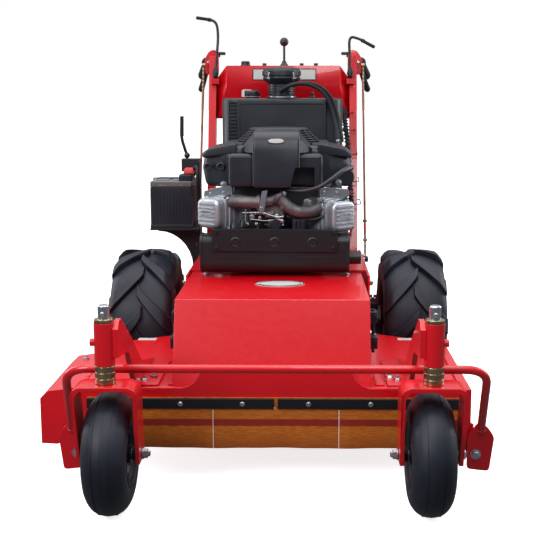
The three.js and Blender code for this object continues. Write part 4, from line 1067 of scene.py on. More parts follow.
def shroud():
    """The cowl under its round intake, whose louvres step in as they rise over the fan."""
    body = cowl()
    fan = Vector((4, CRANK.y - 30, 0))
    louvre_count, base, top = 9, 139, 84
    for i in range(louvre_count):
        z = 797 + i * 6.1
        r = base + (top - base) * i / (louvre_count - 1)
        body.turned([(r - 14, z), (r + 2, z - 0.6), (r + 3, z + 1.6), (r - 2, z + 3), (r - 14, z + 3),
                     (r - 14, z)], "z", fan, 72, 0.7)
    body.turned([(0, 790), (base - 9, 790), (top - 9, 848), (0, 848)], "z", fan, 64)
    body.turned([(0, 846), (top + 2, 846), (top + 3, 849), (top - 2, 852.5), (top - 22, 853.5),
                 (top - 24, 851), (0, 851)], "z", fan, 72, 0.8)
    spoke = Form("black_plastic").block(fan.x - 3, fan.x + 3, fan.y + 10, fan.y + 60, 850.5, 853.5, 0.8)
    rings(body, spoke, 12, "z", fan)
    slope = ((134, 797), (138, 797), (78, 850), (84, 850))
    strut = Form("black_plastic").hull([(fan.x + x, fan.y + y, z) for x in (-2.5, 2.5) for y, z in slope],
                                       0.8, 1)
    rings(body, strut, 18, "z", fan)
    piece("cooling_shroud", body, "chassis", "engine_shroud", sharp=34)
    badge = Form("badge_face")
    badge.plate([(2 + x, 822 + t) for x, t in rounded_square(21, 6, 32, 0.8)], -425.8, -423.4, "y", 0.8, 2)
    piece("shroud_badge", badge, "chassis")


def carved(form, tool):
    """The shells of a form less a tool's, as corners and faces."""
    objects = []
    for shells in (form, tool):
        mesh = seed_mesh(shells)
        bm = bmesh.new()
        bm.from_mesh(mesh)
        bmesh.ops.recalc_face_normals(bm, faces=bm.faces)
        bm.to_mesh(mesh)
        bm.free()
        objects.append(bpy.data.objects.new("carving", mesh))
        bpy.context.scene.collection.objects.link(objects[-1])
    target, cutter = objects
    modifier = target.modifiers.new("carve", "BOOLEAN")
    modifier.operation = "DIFFERENCE"
    modifier.solver = "EXACT"
    modifier.object = cutter
    result = bpy.data.meshes.new_from_object(target.evaluated_get(bpy.context.evaluated_depsgraph_get()))
    target.modifiers.remove(modifier)
    found = [v.co.copy() for v in result.vertices], [list(p.vertices) for p in result.polygons]
    for obj in objects:
        bpy.data.objects.remove(obj)
    bpy.data.meshes.remove(result)
    return found


def block_and_sump():
    """The crankcase with its ribs, its oil filter and starter, and its bolts."""
    block = Form("black_paint").cad("engine_block", 4, 3)
    for x in (-136.5, 134):
        rib = Form("black_paint").block(x, x + 2.5, -300, -40, 470, 474, 0.8)
        rows(block, rib, 7, (0, 0, 12))
    piece("crankcase", block, "chassis", "engine_block")
    extras = Form("black_plastic")
    extras.turned([(0, 0), (38, 0), (38, 70), (34, 80), (0, 80)], AXES["x"], (136, -110, 520), 40, 3)
    extras.turned([(0, 0), (30, 0), (30, 96), (0, 96)], "z", (-150, -70, 470), 36, 3)
    extras.block(-172, -136, -104, -36, 486, 506, 3)
    piece("oil_filter_and_starter", extras, "chassis")
    fixings = Form("steel")
    bolts(fixings, [(x, -326, z) for x in (-122, 122) for z in (462, 548)], (0, -1, 0), 13, 8, 20)
    for side in (-1, 1):
        bolts(fixings, [(side * 136, y, 456) for y in (-290, -200, -110, -30)], (side, 0, 0), 13, 8, 20)
    piece("crankcase_bolts", fixings, "chassis")


for word, side in SIDES:
    cylinder_bank(word, side)
manifold()
throttle_linkage()
leads_and_hoses()
shroud_brackets()
muffler_box()
shroud()
block_and_sump()


# ---- Deck, bumper and apron ----
DECK_LOW, DECK_HIGH = reach_of("deck_shell")
DECK_X = (DECK_LOW.x + DECK_HIGH.x) / 2
DECK_HALF = (DECK_HIGH.x - DECK_LOW.x) / 2
DECK_FRONT = DECK_LOW.y
DECK_TOP = 233.0


def deck():
    """The deck pan and the raised cover, with ribs and welds."""
    piece("deck_pan", Form("red_paint").cad("deck_shell", 1.6, 3), "chassis", "deck_shell")
    piece("hopper_cover", Form("red_paint").cad("belt_cover", 2.6, 3), "chassis", "belt_cover")
    cover_low, cover_high = reach_of("belt_cover")
    trim = Form("red_paint")
    for side in (-1, 1):
        x = DECK_X + side * (DECK_HALF - 24)
        trim.plate([(-792, DECK_TOP + 0.5), (-420, DECK_TOP + 0.5), (-440, DECK_TOP + 6),
                    (-770, DECK_TOP + 6)], x - 3, x + 3, "x", 1)
        trim.block(DECK_X + side * 258 - 12, DECK_X + side * 258 + 12, -790, -430, DECK_TOP, DECK_TOP + 4,
                   1.5)
    seam = [Vector((x, DECK_FRONT + 4.6, DECK_TOP + 1)) for x in range(-440, 456, 8)]
    trim.tube(seam, lambda share: 2.6 + 0.7 * math.sin(640 * share), 0, 8)
    for x in (cover_low.x + 0.4, cover_high.x - 0.4):
        trim.tube([Vector((x, y, DECK_TOP + 1.2)) for y in range(-800, -340, 8)],
                  lambda share: 2.2 + 0.6 * math.sin(420 * share), 0, 8)
    piece("deck_ribs_and_welds", trim, "chassis")


def deck_hardware():
    """Bolts of the deck, of the cover and of the clamping strips."""
    cover_top = reach_of("belt_cover")[1].z
    hardware = Form("steel")
    tops = [(-319, -767, DECK_TOP + 0.5), (313, -759, DECK_TOP + 0.5), (-300, -742, DECK_TOP + 0.5),
            (296, -736, DECK_TOP + 0.5)]
    bolts(hardware, tops, (0, 0, 1), 17, 13, 27)
    bolts(hardware, [(x, -350, cover_top) for x in (-200, 200)], (0, 0, 1), 13, 8, 22)
    bolts(hardware, [(s * 240, y, DECK_TOP + 4) for s in (-1, 1) for y in (-690, -560, -420)], (0, 0, 1), 13,
          8, 20)
    for word, side in SIDES:
        low, high = reach_of(f"{word}_apron_strip")
        centre_z = (low.z + high.z) / 2
        places = [(x, low.y, centre_z) for x in ((-223, -71, -380) if side < 0 else (91, 243, 402))]
        bolts(hardware, places, (0, -1, 0), 10, 5, 13, sides=24)
    piece("deck_bolts", hardware, "chassis")


def plain_plates():
    """Plates and a bordered oval with nothing on them."""
    cover_top = reach_of("belt_cover")[1].z
    plates = Form("badge_face")
    for x, y in ((-384, -300), (384, -292)):
        plates.block(x - 27, x + 27, y - 13, y + 13, DECK_TOP + 0.1, DECK_TOP + 0.9, 0.3)
    oval = [(14 + 68 * math.cos(t / 24 * math.pi), -517 + 44 * math.sin(t / 24 * math.pi)) for t in range(48)]
    plates.plate(oval, cover_top + 0.1, cover_top + 1.4, "z", 0.5)
    piece("plain_plates", plates, "chassis")
    rim = Form("black_plastic")
    for grow, wide in ((1.0, 3.2), (0.86, 1.6)):
        turns = [t / 32 * math.pi for t in range(65)]
        loop = [(14 + 66 * grow * math.cos(t), -517 + 42 * grow * math.sin(t),
                 cover_top + 1.3) for t in turns]
        rim.tube(loop, wide / 2, 0, 8)
    piece("plate_borders", rim, "chassis")


def latches_and_edge():
    """The cover's rubber latches, and the edge of belting above the strips."""
    latches = Form("black_plastic")
    for side in (-1, 1):
        x = side * 254
        for y, z in ((-560, 360), (-600, 300)):
            latches.block(min(x, x + side * 20), max(x, x + side * 20), y - 22, y + 22, z - 16, z + 16, 3)
            latches.tube([(x + side * 14, y - 30, z + 6), (x + side * 14, y + 34, z + 6)], 5, 0, 16)
        latches.tube([(x + side * 10, -560, 380), (x + side * 12, -560, 300), (x + side * 10, -590, 270)], 5,
                     12, 12)
    piece("cover_latches", latches, "chassis")
    belting = Form("apron_belting")
    belting.block(DECK_X - DECK_HALF + 15, DECK_X + DECK_HALF - 15, DECK_FRONT - 3.6, DECK_FRONT - 0.4, 187,
                  213, 0.8)
    piece("belting_edge", belting, "chassis")


def bumper():
    """The bent rail with its corner plates and bolts."""
    low, high = reach_of("front_bumper")
    x, half, radius = 16, 483, 10
    y, z = low.y + radius, high.z - radius
    foot = DECK_FRONT - 10
    tube = [(DECK_X - DECK_HALF - 24, foot, 135), (x - half, y, z), (x + half, y, z),
            (DECK_X + DECK_HALF + 24, foot, 135)]
    rail = Form("red_paint").tube(tube, radius, 56, 28, 12)
    for side in (-1, 1):
        at = lambda reach: DECK_X + side * reach
        face = [(at(DECK_HALF - 9), 36), (at(DECK_HALF + 46), 30), (at(DECK_HALF + 57), 118),
                (at(DECK_HALF + 40), 143),
                (at(DECK_HALF + 18), 156), (at(DECK_HALF - 9), 120)]
        face = softened(face, 9, 3)
        rail.plate(face, foot - 4, foot + 3.5, "y", 1.4, 2)
        flange = [(foot, 50), (-786, 60), (-786, 140), (foot, 150)]
        inner, outer = sorted((at(DECK_HALF + 0.3), at(DECK_HALF + 6)))
        rail.plate(flange, inner, outer, "x", 1.2)
        collar = [(0, 0), (13, 0), (11.5, 5), (0, 5)]
        end, bend = (tube[0], tube[1]) if side < 0 else (tube[3], tube[2])
        rail.turned(collar, (Vector(bend) - Vector(end)).normalized(), end, 32, 1.5)
    piece("bumper_rail", rail, "chassis", "front_bumper")
    fixings = Form("steel")
    bolts(fixings, [(DECK_X + s * (DECK_HALF + 12), foot - 4, 74) for s in (-1, 1)], (0, -1, 0), 16, 9, 26)
    for side in (-1, 1):
        bolts(fixings, [(DECK_X + side * (DECK_HALF + 6), -806, 100)], (side, 0, 0), 13, 8, 22)
    piece("bumper_bolts", fixings, "chassis")


def apron(name):
    """A hanging sheet of belting, a little wavy at its free edge."""
    low, high = reach_of(f"{name}_apron")
    across, down = 30, 14
    form = Form("apron_belting")
    y = (low.y + high.y) / 2
    grids = []
    for face in (-1, 1):
        grid = []
        for j in range(down + 1):
            share = j / down
            for i in range(across + 1):
                x = low.x + (high.x - low.x) * i / across
                wave = 2.4 * share ** 2 * math.sin(0.021 * x + 1.3) + 1.2 * share ** 2 * math.sin(0.057 * x)
                edge = 0.8 if i in (0, across) or j in (0, down) else 0.0
                grid.append(Vector((x, y + face * (2.6 - edge) + wave,
                                    high.z - 0.4 - (high.z - low.z - 0.8) * share)))
        grids.append(grid)
    count = (across + 1) * (down + 1)
    faces = []
    for first in (0, count):
        for j in range(down):
            for i in range(across):
                a = first + j * (across + 1) + i
                faces.append([a, a + 1, a + across + 2, a + across + 1])
    ring = list(range(across + 1))
    ring += [(j + 1) * (across + 1) - 1 for j in range(1, down + 1)]
    ring += [down * (across + 1) + i for i in range(across - 1, -1, -1)]
    ring += [j * (across + 1) for j in range(down - 1, 0, -1)]
    for i, a in enumerate(ring):
        b = ring[(i + 1) % len(ring)]
        faces.append([a, b, b + count, a + count])
    form.take(grids[0] + grids[1], faces)
    obj = piece(f"{name}_apron_sheet", form, None, f"{name}_apron", sharp=60)
    # drop runs from 0 at the top to 1 at the free edge; the belting finish places its stripe and its painted
    # shade by it.
    drop = obj.data.attributes.new("drop", "FLOAT", "POINT")
    top, bottom = placed(0, 0, high.z).z, placed(0, 0, low.z).z
    for vert, item in zip(obj.data.vertices, drop.data):
        item.value = (top - vert.co.z) / (top - bottom)
    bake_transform(obj)


def strips():
    """The two strips that clamp the apron."""
    for word, _ in SIDES:
        form = Form("black_paint").cad(f"{word}_apron_strip", 1.2, 3)
        piece(f"{word}_clamp_strip", form, "chassis", f"{word}_apron_strip")


def deflector():
    """The hinged flap over the discharge, with its pin."""
    low, high = reach_of("discharge_deflector")
    form = Form("red_paint").cad("discharge_deflector", 1.2, 2)
    hinge = Form("steel")
    for i in range(5):
        y = low.y + 8 + i * (high.y - low.y - 16) / 5
        form.turned([(6.2, y), (7.2, y), (7.2, y + 52), (6.2, y + 52), (6.2, y)], "y", (high.x - 6, 0, 226),
                    24, 0.4)
    piece("chute_deflector", form, "deflector", "discharge_deflector")
    hinge.tube([(high.x - 6, low.y - 4, 226), (high.x - 6, high.y + 4, 226)], 4.2, 0, 16)
    bolts(hinge, [(high.x - 60, y, 219) for y in (low.y + 60, high.y - 60)], (-0.1, 0, 1), 12, 7, 20)
    piece("deflector_pin", hinge, "deflector")


def cutting_gear():
    """Spindles, blades, pulleys and belt, under the deck and its cover."""
    for word, _ in SIDES:
        x, y = heart_of(f"{word}_spindle_housing").xy
        housing = Form("cast_alloy").turned([
            (13, 152), (13, 284), (26, 284), (26, 243.3), (35.5, 243.3), (35.5, 233.3), (26, 233.3),
            (26, 170), (20, 152), (13, 152)], "z", (x, y, 0), 48, 1.4)
        web = [(22, 244), (22, 276), (34, 244)]
        rib = Form("cast_alloy").hull([(x + out, y + t, z) for t in (-2.5, 2.5) for out, z in web], 0.8, 1)
        rings(housing, rib, 6, "z", (x, y, 0))
        ring = bolts(Form("steel"), [(x + 30, y, 243)], (0, 0, 1), 9, 7, 10)
        rings(housing, ring, 6, "z", (x, y, 0), math.pi / 6, paint="steel")
        piece(f"{word}_spindle_casting", housing, "chassis", f"{word}_spindle_housing")
        spindle = Form("steel").cad(f"{word}_blade_spindle", 0.8, 2)
        spindle.turned([(0, 310), (9, 310), (9, 318), (7, 320), (0, 320)], "z", (x, y, 0), 6)
        spindle.turned([(0, 76), (16, 76), (16, 86.5), (0, 86.5)], "z", (x, y, 0), 6)
        piece(f"{word}_spindle_shaft", spindle, f"{word}_cutter", f"{word}_blade_spindle")
        piece(f"{word}_cutting_blade", Form("dark_steel").cad(f"{word}_blade", 1.0, 2), f"{word}_cutter",
              f"{word}_blade")
    piece("crank_sheave", Form("steel").cad("crank_pulley", 0.8, 2), "crank", "crank_pulley")
    piece("drive_belt", Form("hose_rubber").cad("deck_belt", 1.2, 2), "chassis", "deck_belt")


deck()
deck_hardware()
plain_plates()
latches_and_edge()
bumper()
for name in ("left", "centre", "right"):
    apron(name)
strips()
deflector()
cutting_gear()


# ---- Frame, tank and handles ----
def framework():
    """The side frame and its bolts."""
    piece("side_frame", Form("red_paint").cad("main_frame", 1.6, 2), "chassis", "main_frame")
    low, high = reach_of("main_frame")
    fixings = Form("steel")
    for side, x in ((-1, low.x), (1, high.x)):
        holes = ((-380, 420), (-380, 270), (-230, 270), (60, 430), (110, 400), (290, 310), (-45, 170),
                 (45, 170))
        places = [(x, y, z) for y, z in holes]
        bolts(fixings, places, (side, 0, 0), 16, 10, 26)
        ring = bolts(Form("steel"), [(x, 0, 228.5 + 70)], (side, 0, 0), 13, 8, 22)
        rings(fixings, ring, 4, "x", (x, 0, 228.5), math.pi / 4)
    bolts(fixings, [(x, y, 446) for x in (-180, 190) for y in (-280, -150, 20)], (0, 0, 1), 13, 8, 22)
    piece("frame_bolts", fixings, "chassis")


TANK_TOP = 939.0


def tank():
    """The moulded tank, grooved at its front, with the seam round its middle."""
    low, high = reach_of("fuel_tank")
    top = TANK_TOP
    x0, x1, y0, y1 = low.x, high.x, low.y, high.y
    corner = 55
    centres = ((x1 - corner, y1 - corner), (x0 + corner, y1 - corner), (x0 + corner, y0 + corner),
               (x1 - corner, y0 + corner))
    outline = []
    for quarter, (x, y) in enumerate(centres):
        outline += arc(x, y, corner, 90 * quarter, 90 * quarter + 90, 10)
    shell = Form("black_plastic").plate(outline, low.z, top, "z", 9, 4)
    grooves = Form("black_plastic")
    grooves.block(x0 + 26, x0 + 52, y0 - 10, y0 + 12, low.z + 8, top - 14, 4)
    grooves.block(x1 - 56, x1 - 30, y0 - 10, y0 + 12, low.z + 8, top - 14, 4)
    grooves.block(x0 + 60, x1 - 62, y0 - 10, y0 + 3, low.z + 20, top - 18, 2.5)
    body = Form("black_plastic")
    body.take(*carved(shell, grooves))
    seam = [(x + (x - (x0 + x1) / 2) * 0.006, y + (y - (y0 + y1) / 2) * 0.012) for x, y in outline]
    body.plate(seam, 786, 791, "z", 1.2, 2)
    rib = Form("black_plastic").block(x0 + 28, x0 + 50, y0 + 5, y0 + 13, low.z + 16, low.z + 20, 1)
    rows(body, rib, 24, (0, 0, 11.4))
    cap_x, cap_y = heart_of("fuel_cap").xy
    body.turned([(0, top - 8), (23, top - 8), (23, top + 1.5), (20, top + 4.6), (0, top + 4.6)], "z",
                (cap_x, cap_y, 0), 40, 1)
    body.turned([(0, top - 4), (9, top - 4), (9, top + 4), (5, top + 6), (5, top + 14), (6.4, top + 14),
                 (6.4, top + 17), (0, top + 20)], "z", (106, 100, 0), 24, 0.8)
    piece("tank_shell", body, "chassis", "fuel_tank")


def filler():
    """The knurled filler cap with its tag."""
    top = TANK_TOP
    cap_x, cap_y = heart_of("fuel_cap").xy
    cap = Form("black_plastic").turned([
        (0, top + 5.4), (24, top + 5.4), (24, top + 19), (21, top + 23.6), (8, top + 24), (0, top + 23)], "z",
        (cap_x, cap_y, 0), 48, 1.4)
    knurl = Form("black_plastic").block(cap_x + 22.6, cap_x + 25.8, cap_y - 1.5, cap_y + 1.5, top + 6,
                                        top + 19, 0.8)
    rings(cap, knurl, 30, "z", (cap_x, cap_y, 0))
    cap.block(cap_x - 17, cap_x + 17, cap_y - 3, cap_y + 3, top + 22, top + 25.5, 1.5)
    piece("tank_cap", cap, "filler_cap", "fuel_cap")
    tag = Form("badge_face")
    tag.block(cap_x - 30, cap_x - 2, cap_y - 9, cap_y - 7.6, top + 24.2, top + 27.5, 0.4)
    tag.turned([(20, top + 4.2), (29, top + 4.2), (29, top + 5.0), (20, top + 5.0), (20, top + 4.2)], "z",
               (cap_x, cap_y, 0), 40, 0.2)
    tag.block(cap_x - 33, cap_x - 24, cap_y - 14, cap_y - 12.6, top + 4, top + 24, 0.5)
    piece("cap_tag", tag, "chassis")


def canister():
    """The air cleaner's canister with its collars, ribs and spring clips."""
    top = TANK_TOP
    x, y = heart_of("air_canister").xy
    can = Form("black_plastic").turned([
        (0, top + 0.4), (46, top + 0.4), (46, top + 6), (42, top + 9), (41, top + 44), (50, top + 51),
        (56, top + 55), (61, top + 62),
        (61, top + 66), (58.5, top + 67), (58.5, top + 70), (61.5, top + 71), (61.5, top + 86),
        (56, top + 95), (38, top + 98), (0, top + 98)], "z", (x, y, 0), 72, 1.8)
    collar = [(41, 0), (44.6, 0.8), (44.6, 3), (41, 4), (41, 0)]
    for i in range(4):
        can.turned([(r, top + 12 + 8 * i + t) for r, t in collar], "z", (x, y, 0), 64, 0.6)
    rib = Form("black_plastic").block(x + 59.3, x + 62.6, y - 1.6, y + 1.6, top + 72, top + 86, 0.7)
    rings(can, rib, 28, "z", (x, y, 0))
    can.turned([(0, top + 96), (12, top + 96), (12, top + 99), (8, top + 101), (0, top + 101)], "z",
               (x, y, 0), 32, 0.8)
    can.turned([(6, 0), (9.5, 0), (9.5, 12), (6, 12), (6, 0)], "y", (x, y - 50, top + 23), 28, 0.8)
    piece("cleaner_canister", can, "chassis", "air_canister")
    clips = Form("steel")
    for angle in (-128, -52, 52, 128):
        turn = math.radians(angle)
        out = Vector((math.cos(turn), math.sin(turn), 0))
        at = Vector((x, y, top)) + out * 61
        spring = [at + out * reach + AXES["z"] * z for reach,
                  z in ((0, 55), (4.5, 62), (3.5, 76), (-1.5, 82))]
        clips.tube(spring, 1.8, 3, 8)
        hinge, aside = at + out * 4 + AXES["z"] * 62, out.cross(AXES["z"]) * 6
        clips.tube([hinge - aside, hinge + aside], 2.2, 0, 8)
    clips.turned([(42.2, top + 1.5), (47.4, top + 1.5), (47.4, top + 5), (42.2, top + 5), (42.2, top + 1.5)],
                 "z", (x, y, 0), 64, 0.5)
    piece("canister_clips", clips, "chassis")


BREATHER = [(6, 69.2, 962), (7, 60, 963), (24, 42, 974), (54, 34, 983), (88, 28, 983), (122, 24, 970),
            (150, 20, 944),
            (168, 16, 905), (178, 8, 868), (184, -6, 838), (187.5, -20, 816), (188, -22, 801.5)]


def smooth_line(points, count):
    """A Catmull-Rom line through the points."""
    points = [Vector(p) for p in points]
    line = []
    for i in range(len(points) - 1):
        a, b = points[max(i - 1, 0)], points[i]
        c, d = points[i + 1], points[min(i + 2, len(points) - 1)]
        for k in range(count):
            t = k / count
            cubic = (3 * b - a - 3 * c + d) * t ** 3
            line.append(0.5 * (2 * b + (c - a) * t + (2 * a - 5 * b + 4 * c - d) * t * t + cubic))
    return line + [points[-1]]


def hoses():
    """The breather hose with a thinner line beside it, and its clamps."""
    line = smooth_line(BREATHER, 6)
    hose = Form("hose_rubber").tube(line, 7, 0, 18)
    beside = [p + Vector((11.5, -2.0, 4 - 4 * i / len(line))) for i, p in enumerate(line[12:])]
    hose.tube(beside, 4.2, 0, 12)
    piece("breather_line", hose, "chassis", "breather_hose")
    clamps = Form("steel")
    for i in (3, len(line) - 4):
        way = (line[i + 1] - line[i - 1]).normalized()
        clamps.turned([(7.1, -3), (8.4, -3), (8.4, 3), (7.1, 3), (7.1, -3)], way, line[i], 28, 0.4)
    piece("breather_clamps", clamps, "chassis")


def wiring():
    """The loom down the left upright, in its spiral wrap and ties."""
    loom = Form("hose_rubber")
    path = [(214, 282, 905), (218, 252, 860), (226, 226, 790), (231, 190, 700), (236, 160, 620),
            (238, 120, 560), (232, 70, 520)]
    core = smooth_line(path, 14)
    loom.tube(core, 7.5, 0, 14)
    coil = []
    for i in range(len(core) - 1):
        for k in range(6):
            t = k / 6
            here = core[i].lerp(core[i + 1], t)
            turn = (i + t) * 2 * math.pi / 2.2
            coil.append(here + Vector((9.4 * math.cos(turn), 9.4 * math.sin(turn), 0)))
    loom.tube(coil, 1.9, 0, 6)
    for i in (6, 20, 34, 48, 62):
        at = core[i] + Vector((16, -2, 0))
        loom.tube([at + Vector(p) for p in ((-27, -12, 0), (14, -12, 0), (14, 44, 10), (-20, 44, 10),
                                            (-27, -12, 0))], 1.6, 4, 6)
        loom.block(at.x - 30, at.x - 22, at.y - 18, at.y - 8, at.z - 4, at.z + 4, 1)
    piece("wiring_loom", loom, "chassis")


def console():
    """The console with its plain plate, knobs and screws."""
    piece("console_box", Form("red_paint").cad("console", 3.0, 3), "chassis", "console")
    plate = Form("badge_face").block(-93, 117, 269.0, 271.6, 1002, 1035, 0.5)
    piece("console_plate", plate, "chassis")
    edge = Form("black_plastic")
    edge.tube([(-95, 269.6, 1000), (119, 269.6, 1000), (119, 269.6, 1037), (-95, 269.6, 1037),
               (-95, 269.6, 1000)], 1.5, 0, 8)
    edge.turned([(0, 1048.3), (17, 1048.3), (17, 1052), (15, 1052.5), (15, 1062), (12, 1065), (0, 1065)], "z",
                (-123, 330, 0), 36, 1.2)
    for x in (-60, 70, 120):
        edge.turned([(0, 1048.3), (10, 1048.3), (10, 1051), (7, 1052), (7, 1060), (0, 1060)], "z",
                    (x, 392, 0), 28, 1)
    edge.turned([(5, 1048.3), (15, 1048.3), (14, 1052), (9, 1058), (6.4, 1066), (5, 1066), (5, 1048.3)], "z",
                (10, 340, 0), 36, 1.4)
    piece("console_trim", edge, "chassis")
    screws = Form("zinc_plate")
    bolts(screws, [(250, 303, 978), (250, 301, 962), (252, 300, 902), (-238, 303, 978), (-238, 300, 902)],
          (0, -1, 0), 10, 6, 15, 24)
    bolts(screws, [(x, 424, 1049) for x in (-160, 176)], (0, 0, 1), 9, 4, 14, 24)
    piece("console_screws", screws, "chassis")


HANDLE_X = 6
LEVER_ROUTES = {"left": [(236, 292, 1015), (231, 298, 1146), (262, 298, 1140), (296, 298, 1122)],
                "right": [(-224, 292, 1015), (-213, 298, 1150), (-219, 298, 1198), (-262, 298, 1204)]}


def handles():
    """The uprights, and what each side of them carries."""
    piece("handle_uprights", Form("red_paint").cad("handle_frame", 1.6, 2), "chassis", "handle_frame")
    for word, side in SIDES:
        def mirrored(x, y, z):
            return Vector((HANDLE_X + side * x, y, z))

        drive_lever(word)
        hand_grip(word, mirrored)
        squeeze_lever(word, mirrored)
        push_rod(word)
        grip_bracket(word, side, mirrored)

def drive_lever(word):
    """A tall bent lever with a pad at its end and a rubber boot at its foot."""
    route = [Vector(p) for p in LEVER_ROUTES[word]]
    foot, end = route[0], route[3]
    lever = Form("black_paint").tube(route, 4.5, 26, 14, 8)
    along = (end - route[2]).normalized()
    turn = Matrix.Translation(end + along * 2) @ Matrix.Rotation(math.atan2(-along.z, along.x), 4, "Y")
    pad = softened([(-26, -8), (24, -11), (24, 11), (-26, 8)], 7, 4)
    lever.plate(pad, -5.5, 4.5, "z", 2.6, 3, turn, paint="hose_rubber")
    lever.turned([(4.4, 20), (6.4, 20), (6.4, 32), (4.4, 32), (4.4, 20)], -along, end + along * 6, 20, 0.6)
    boot = [(0, 3), (12.5, 3), (11, 8), (12, 10), (9.5, 14), (10.2, 16), (7.5, 20), (8, 22), (5.6, 27),
            (4.4, 30), (0, 30)]
    lever.turned(boot, "z", foot, 32, 0.8)
    lever.turned([(0, -9.5), (5, -8.6), (8.6, -5), (9.8, 0), (8.6, 5), (0, 9)], "z", foot, 28, 1)
    piece(f"{word}_steering_lever", lever, f"{word}_drive_control", f"{word}_drive_lever")


def hand_grip(word, mirrored):
    """A ringed rubber sleeve on the upright's bent tube."""
    start, stop = mirrored(262, 422, 1078), mirrored(300, 562, 1022)
    way = (stop - start).normalized()
    length = (stop - start).length
    profile = [(12.5, 38), (21, 38), (21.5, 41), (17.2, 44)]
    for i in range(15):
        t = 47 + i * 6.6
        profile += [(16.2, t), (17, t + 1.6), (17, t + 4.0)]
    profile += [(16.4, length - 6), (17, length - 2), (15.5, length + 5), (9, length + 8), (0, length + 8),
                (0, length + 1), (12.5, length + 1), (12.5, 38)]
    sleeve = Form("hose_rubber").turned(profile, way, start, 48, 0.5)
    piece(f"{word}_hand_grip", sleeve, "chassis", f"{word}_grip")


def squeeze_lever(word, mirrored):
    """The lever under the grip, on its red arm."""
    pivot = mirrored(264, 418, 1046)
    squeeze = Form("hose_rubber")
    a, b = mirrored(269, 420, 1045), mirrored(306, 564, 972)
    squeeze.tube([a, a.lerp(b, 0.3), a.lerp(b, 0.9), b], lambda share: 8.6 + 2.3 * share, 10, 24, 4)
    ball = (b - a).normalized()
    squeeze.turned([(0, -1), (10.8, -1), (10.2, 3), (7.5, 6.4), (0, 8)], ball, b, 32, 1.5)
    arm = [(366, 1048), (426, 1038), (426, 1053), (368, 1062)]
    reach = sorted((mirrored(272.7, 0, 0).x, mirrored(267, 0, 0).x))
    squeeze.plate(softened(arm, 6, 3), reach[0], reach[1], "x", 0.8, 2, paint="red_paint")
    squeeze.turned([(0, -8), (7, -8), (7, 9), (0, 9)], "x", pivot, 24, 1, paint="zinc_plate")
    piece(f"{word}_lower_lever", squeeze, f"{word}_squeeze", f"{word}_squeeze_lever")


def push_rod(word):
    """A long control rod with threaded ends, nuts and a ball joint."""
    x = heart_of(f"{word}_control_rod").x
    foot, top = Vector((x, 95, 410)), Vector((x, 372, 1056))
    rod = Form("warm_rod").tube([foot, top], 3.9, 0, 16)
    way = (top - foot).normalized()
    step, pitch = 0.55, 2.4
    for near, far in ((0, 62), (610, 700)):
        thread = [foot + way * (near + step * i) for i in range(int((far - near) / step))]
        crests = lambda share: 4.05 + 0.35 * math.sin(2 * math.pi * share * (far - near) / pitch)
        rod.tube(thread[::2], crests, 0, 10, paint="zinc_plate")
    for near in (66, 132):
        rod.turned([(0, 0), (8, 0), (8, 6), (0, 6)], way, foot + way * near, 6, 0, paint="zinc_plate")
    rod.tube([foot + way * 98, foot + way * 126], 4.6, 0, 12, paint="red_paint")
    rod.turned([(0, -2), (9, -2), (10.4, 3), (9, 9), (0, 9)], "x", foot + way * 3, 24, 1, paint="dark_steel")
    rod.turned([(0, -10), (4, -10), (4, 10), (0, 10)], "x", foot + way * 3, 16, 0.6, paint="steel")
    rod.turned([(0, -6), (7, -6), (7, 6), (0, 6)], "x", top - way * 4, 24, 1, paint="zinc_plate")
    piece(f"{word}_push_rod", rod, f"{word}_rod", f"{word}_control_rod")


def grip_bracket(word, side, mirrored):
    """The plates beside the grip, with their bolts and a thumb latch."""
    bracket = Form("red_paint")
    plate = [(340, 1036), (430, 1036), (430, 1060), (418, 1074), (380, 1084), (340, 1076)]
    reach = sorted((mirrored(248, 0, 0).x, mirrored(256, 0, 0).x))
    bracket.plate(softened(plate, 12, 4), reach[0], reach[1], "x", 1.2, 2)
    face = [mirrored(x, 0, z) for x, z in ((224, 1020), (272, 1020), (272, 1078), (256, 1102), (236, 1106),
                                           (224, 1094))]
    bracket.plate(softened([(p.x, p.z) for p in face], 12, 4), 366, 372, "y", 1.2, 2)
    piece(f"{word}_grip_bracket", bracket, "chassis")
    small = Form("steel")
    bolts(small, [mirrored(256.2, y, z) for y, z in ((360, 1062), (400, 1066))], (side, 0, 0), 11, 7, 17)
    bolts(small, [mirrored(256.2, 380, 1046)], (side, 0, 0), 13, 9, 22, paint="zinc_plate")
    piece(f"{word}_bracket_bolts", small, "chassis")
    pad = Form("black_plastic")
    ends = sorted((mirrored(202, 0, 0).x, mirrored(234, 0, 0).x))
    pad.block(ends[0], ends[1], 372.2, 396, 1088, 1098, 3)
    pad.turned([(0, -8), (6, -8), (6, 8), (0, 8)], "x", mirrored(228, 380, 1086), 20, 1)
    piece(f"{word}_thumb_latch", pad, "chassis")


def small_levers():
    """The ball-ended shift lever and the bent brake lever."""
    shift = Form("black_plastic")
    shift.tube([(10, 340, 1024), (10, 340, 1120)], 3.9, 0, 16)
    shift.turned(ball(15, 80, 8), "z", (10, 340, 1130), 48)
    shift.turned(ball(9, 75, 15), "z", (10, 340, 1024), 32)
    piece("shift_knob_and_rod", shift, "shifter", "shift_lever")
    x, y, z = -298, 52, 757
    lever = Form("black_paint")
    lever.tube([(x, y, z), (x - 16, y - 4, z + 52), (x - 14, y - 4, z + 122)], 5, 14, 16, 8)
    lever.tube([(x - 15.4, y - 4, z + 62), (x - 14, y - 4, z + 125)],
               lambda share: 6.4 - 0.5 * (share > 0.97), 0, 20, paint="hose_rubber")
    lever.turned([(0, -9), (5, -8), (8.6, -4), (9.6, 0), (8.6, 4), (0, 9)], "y", (x, y, z), 28, 1)
    piece("park_brake_lever", lever, "brake", "brake_lever")


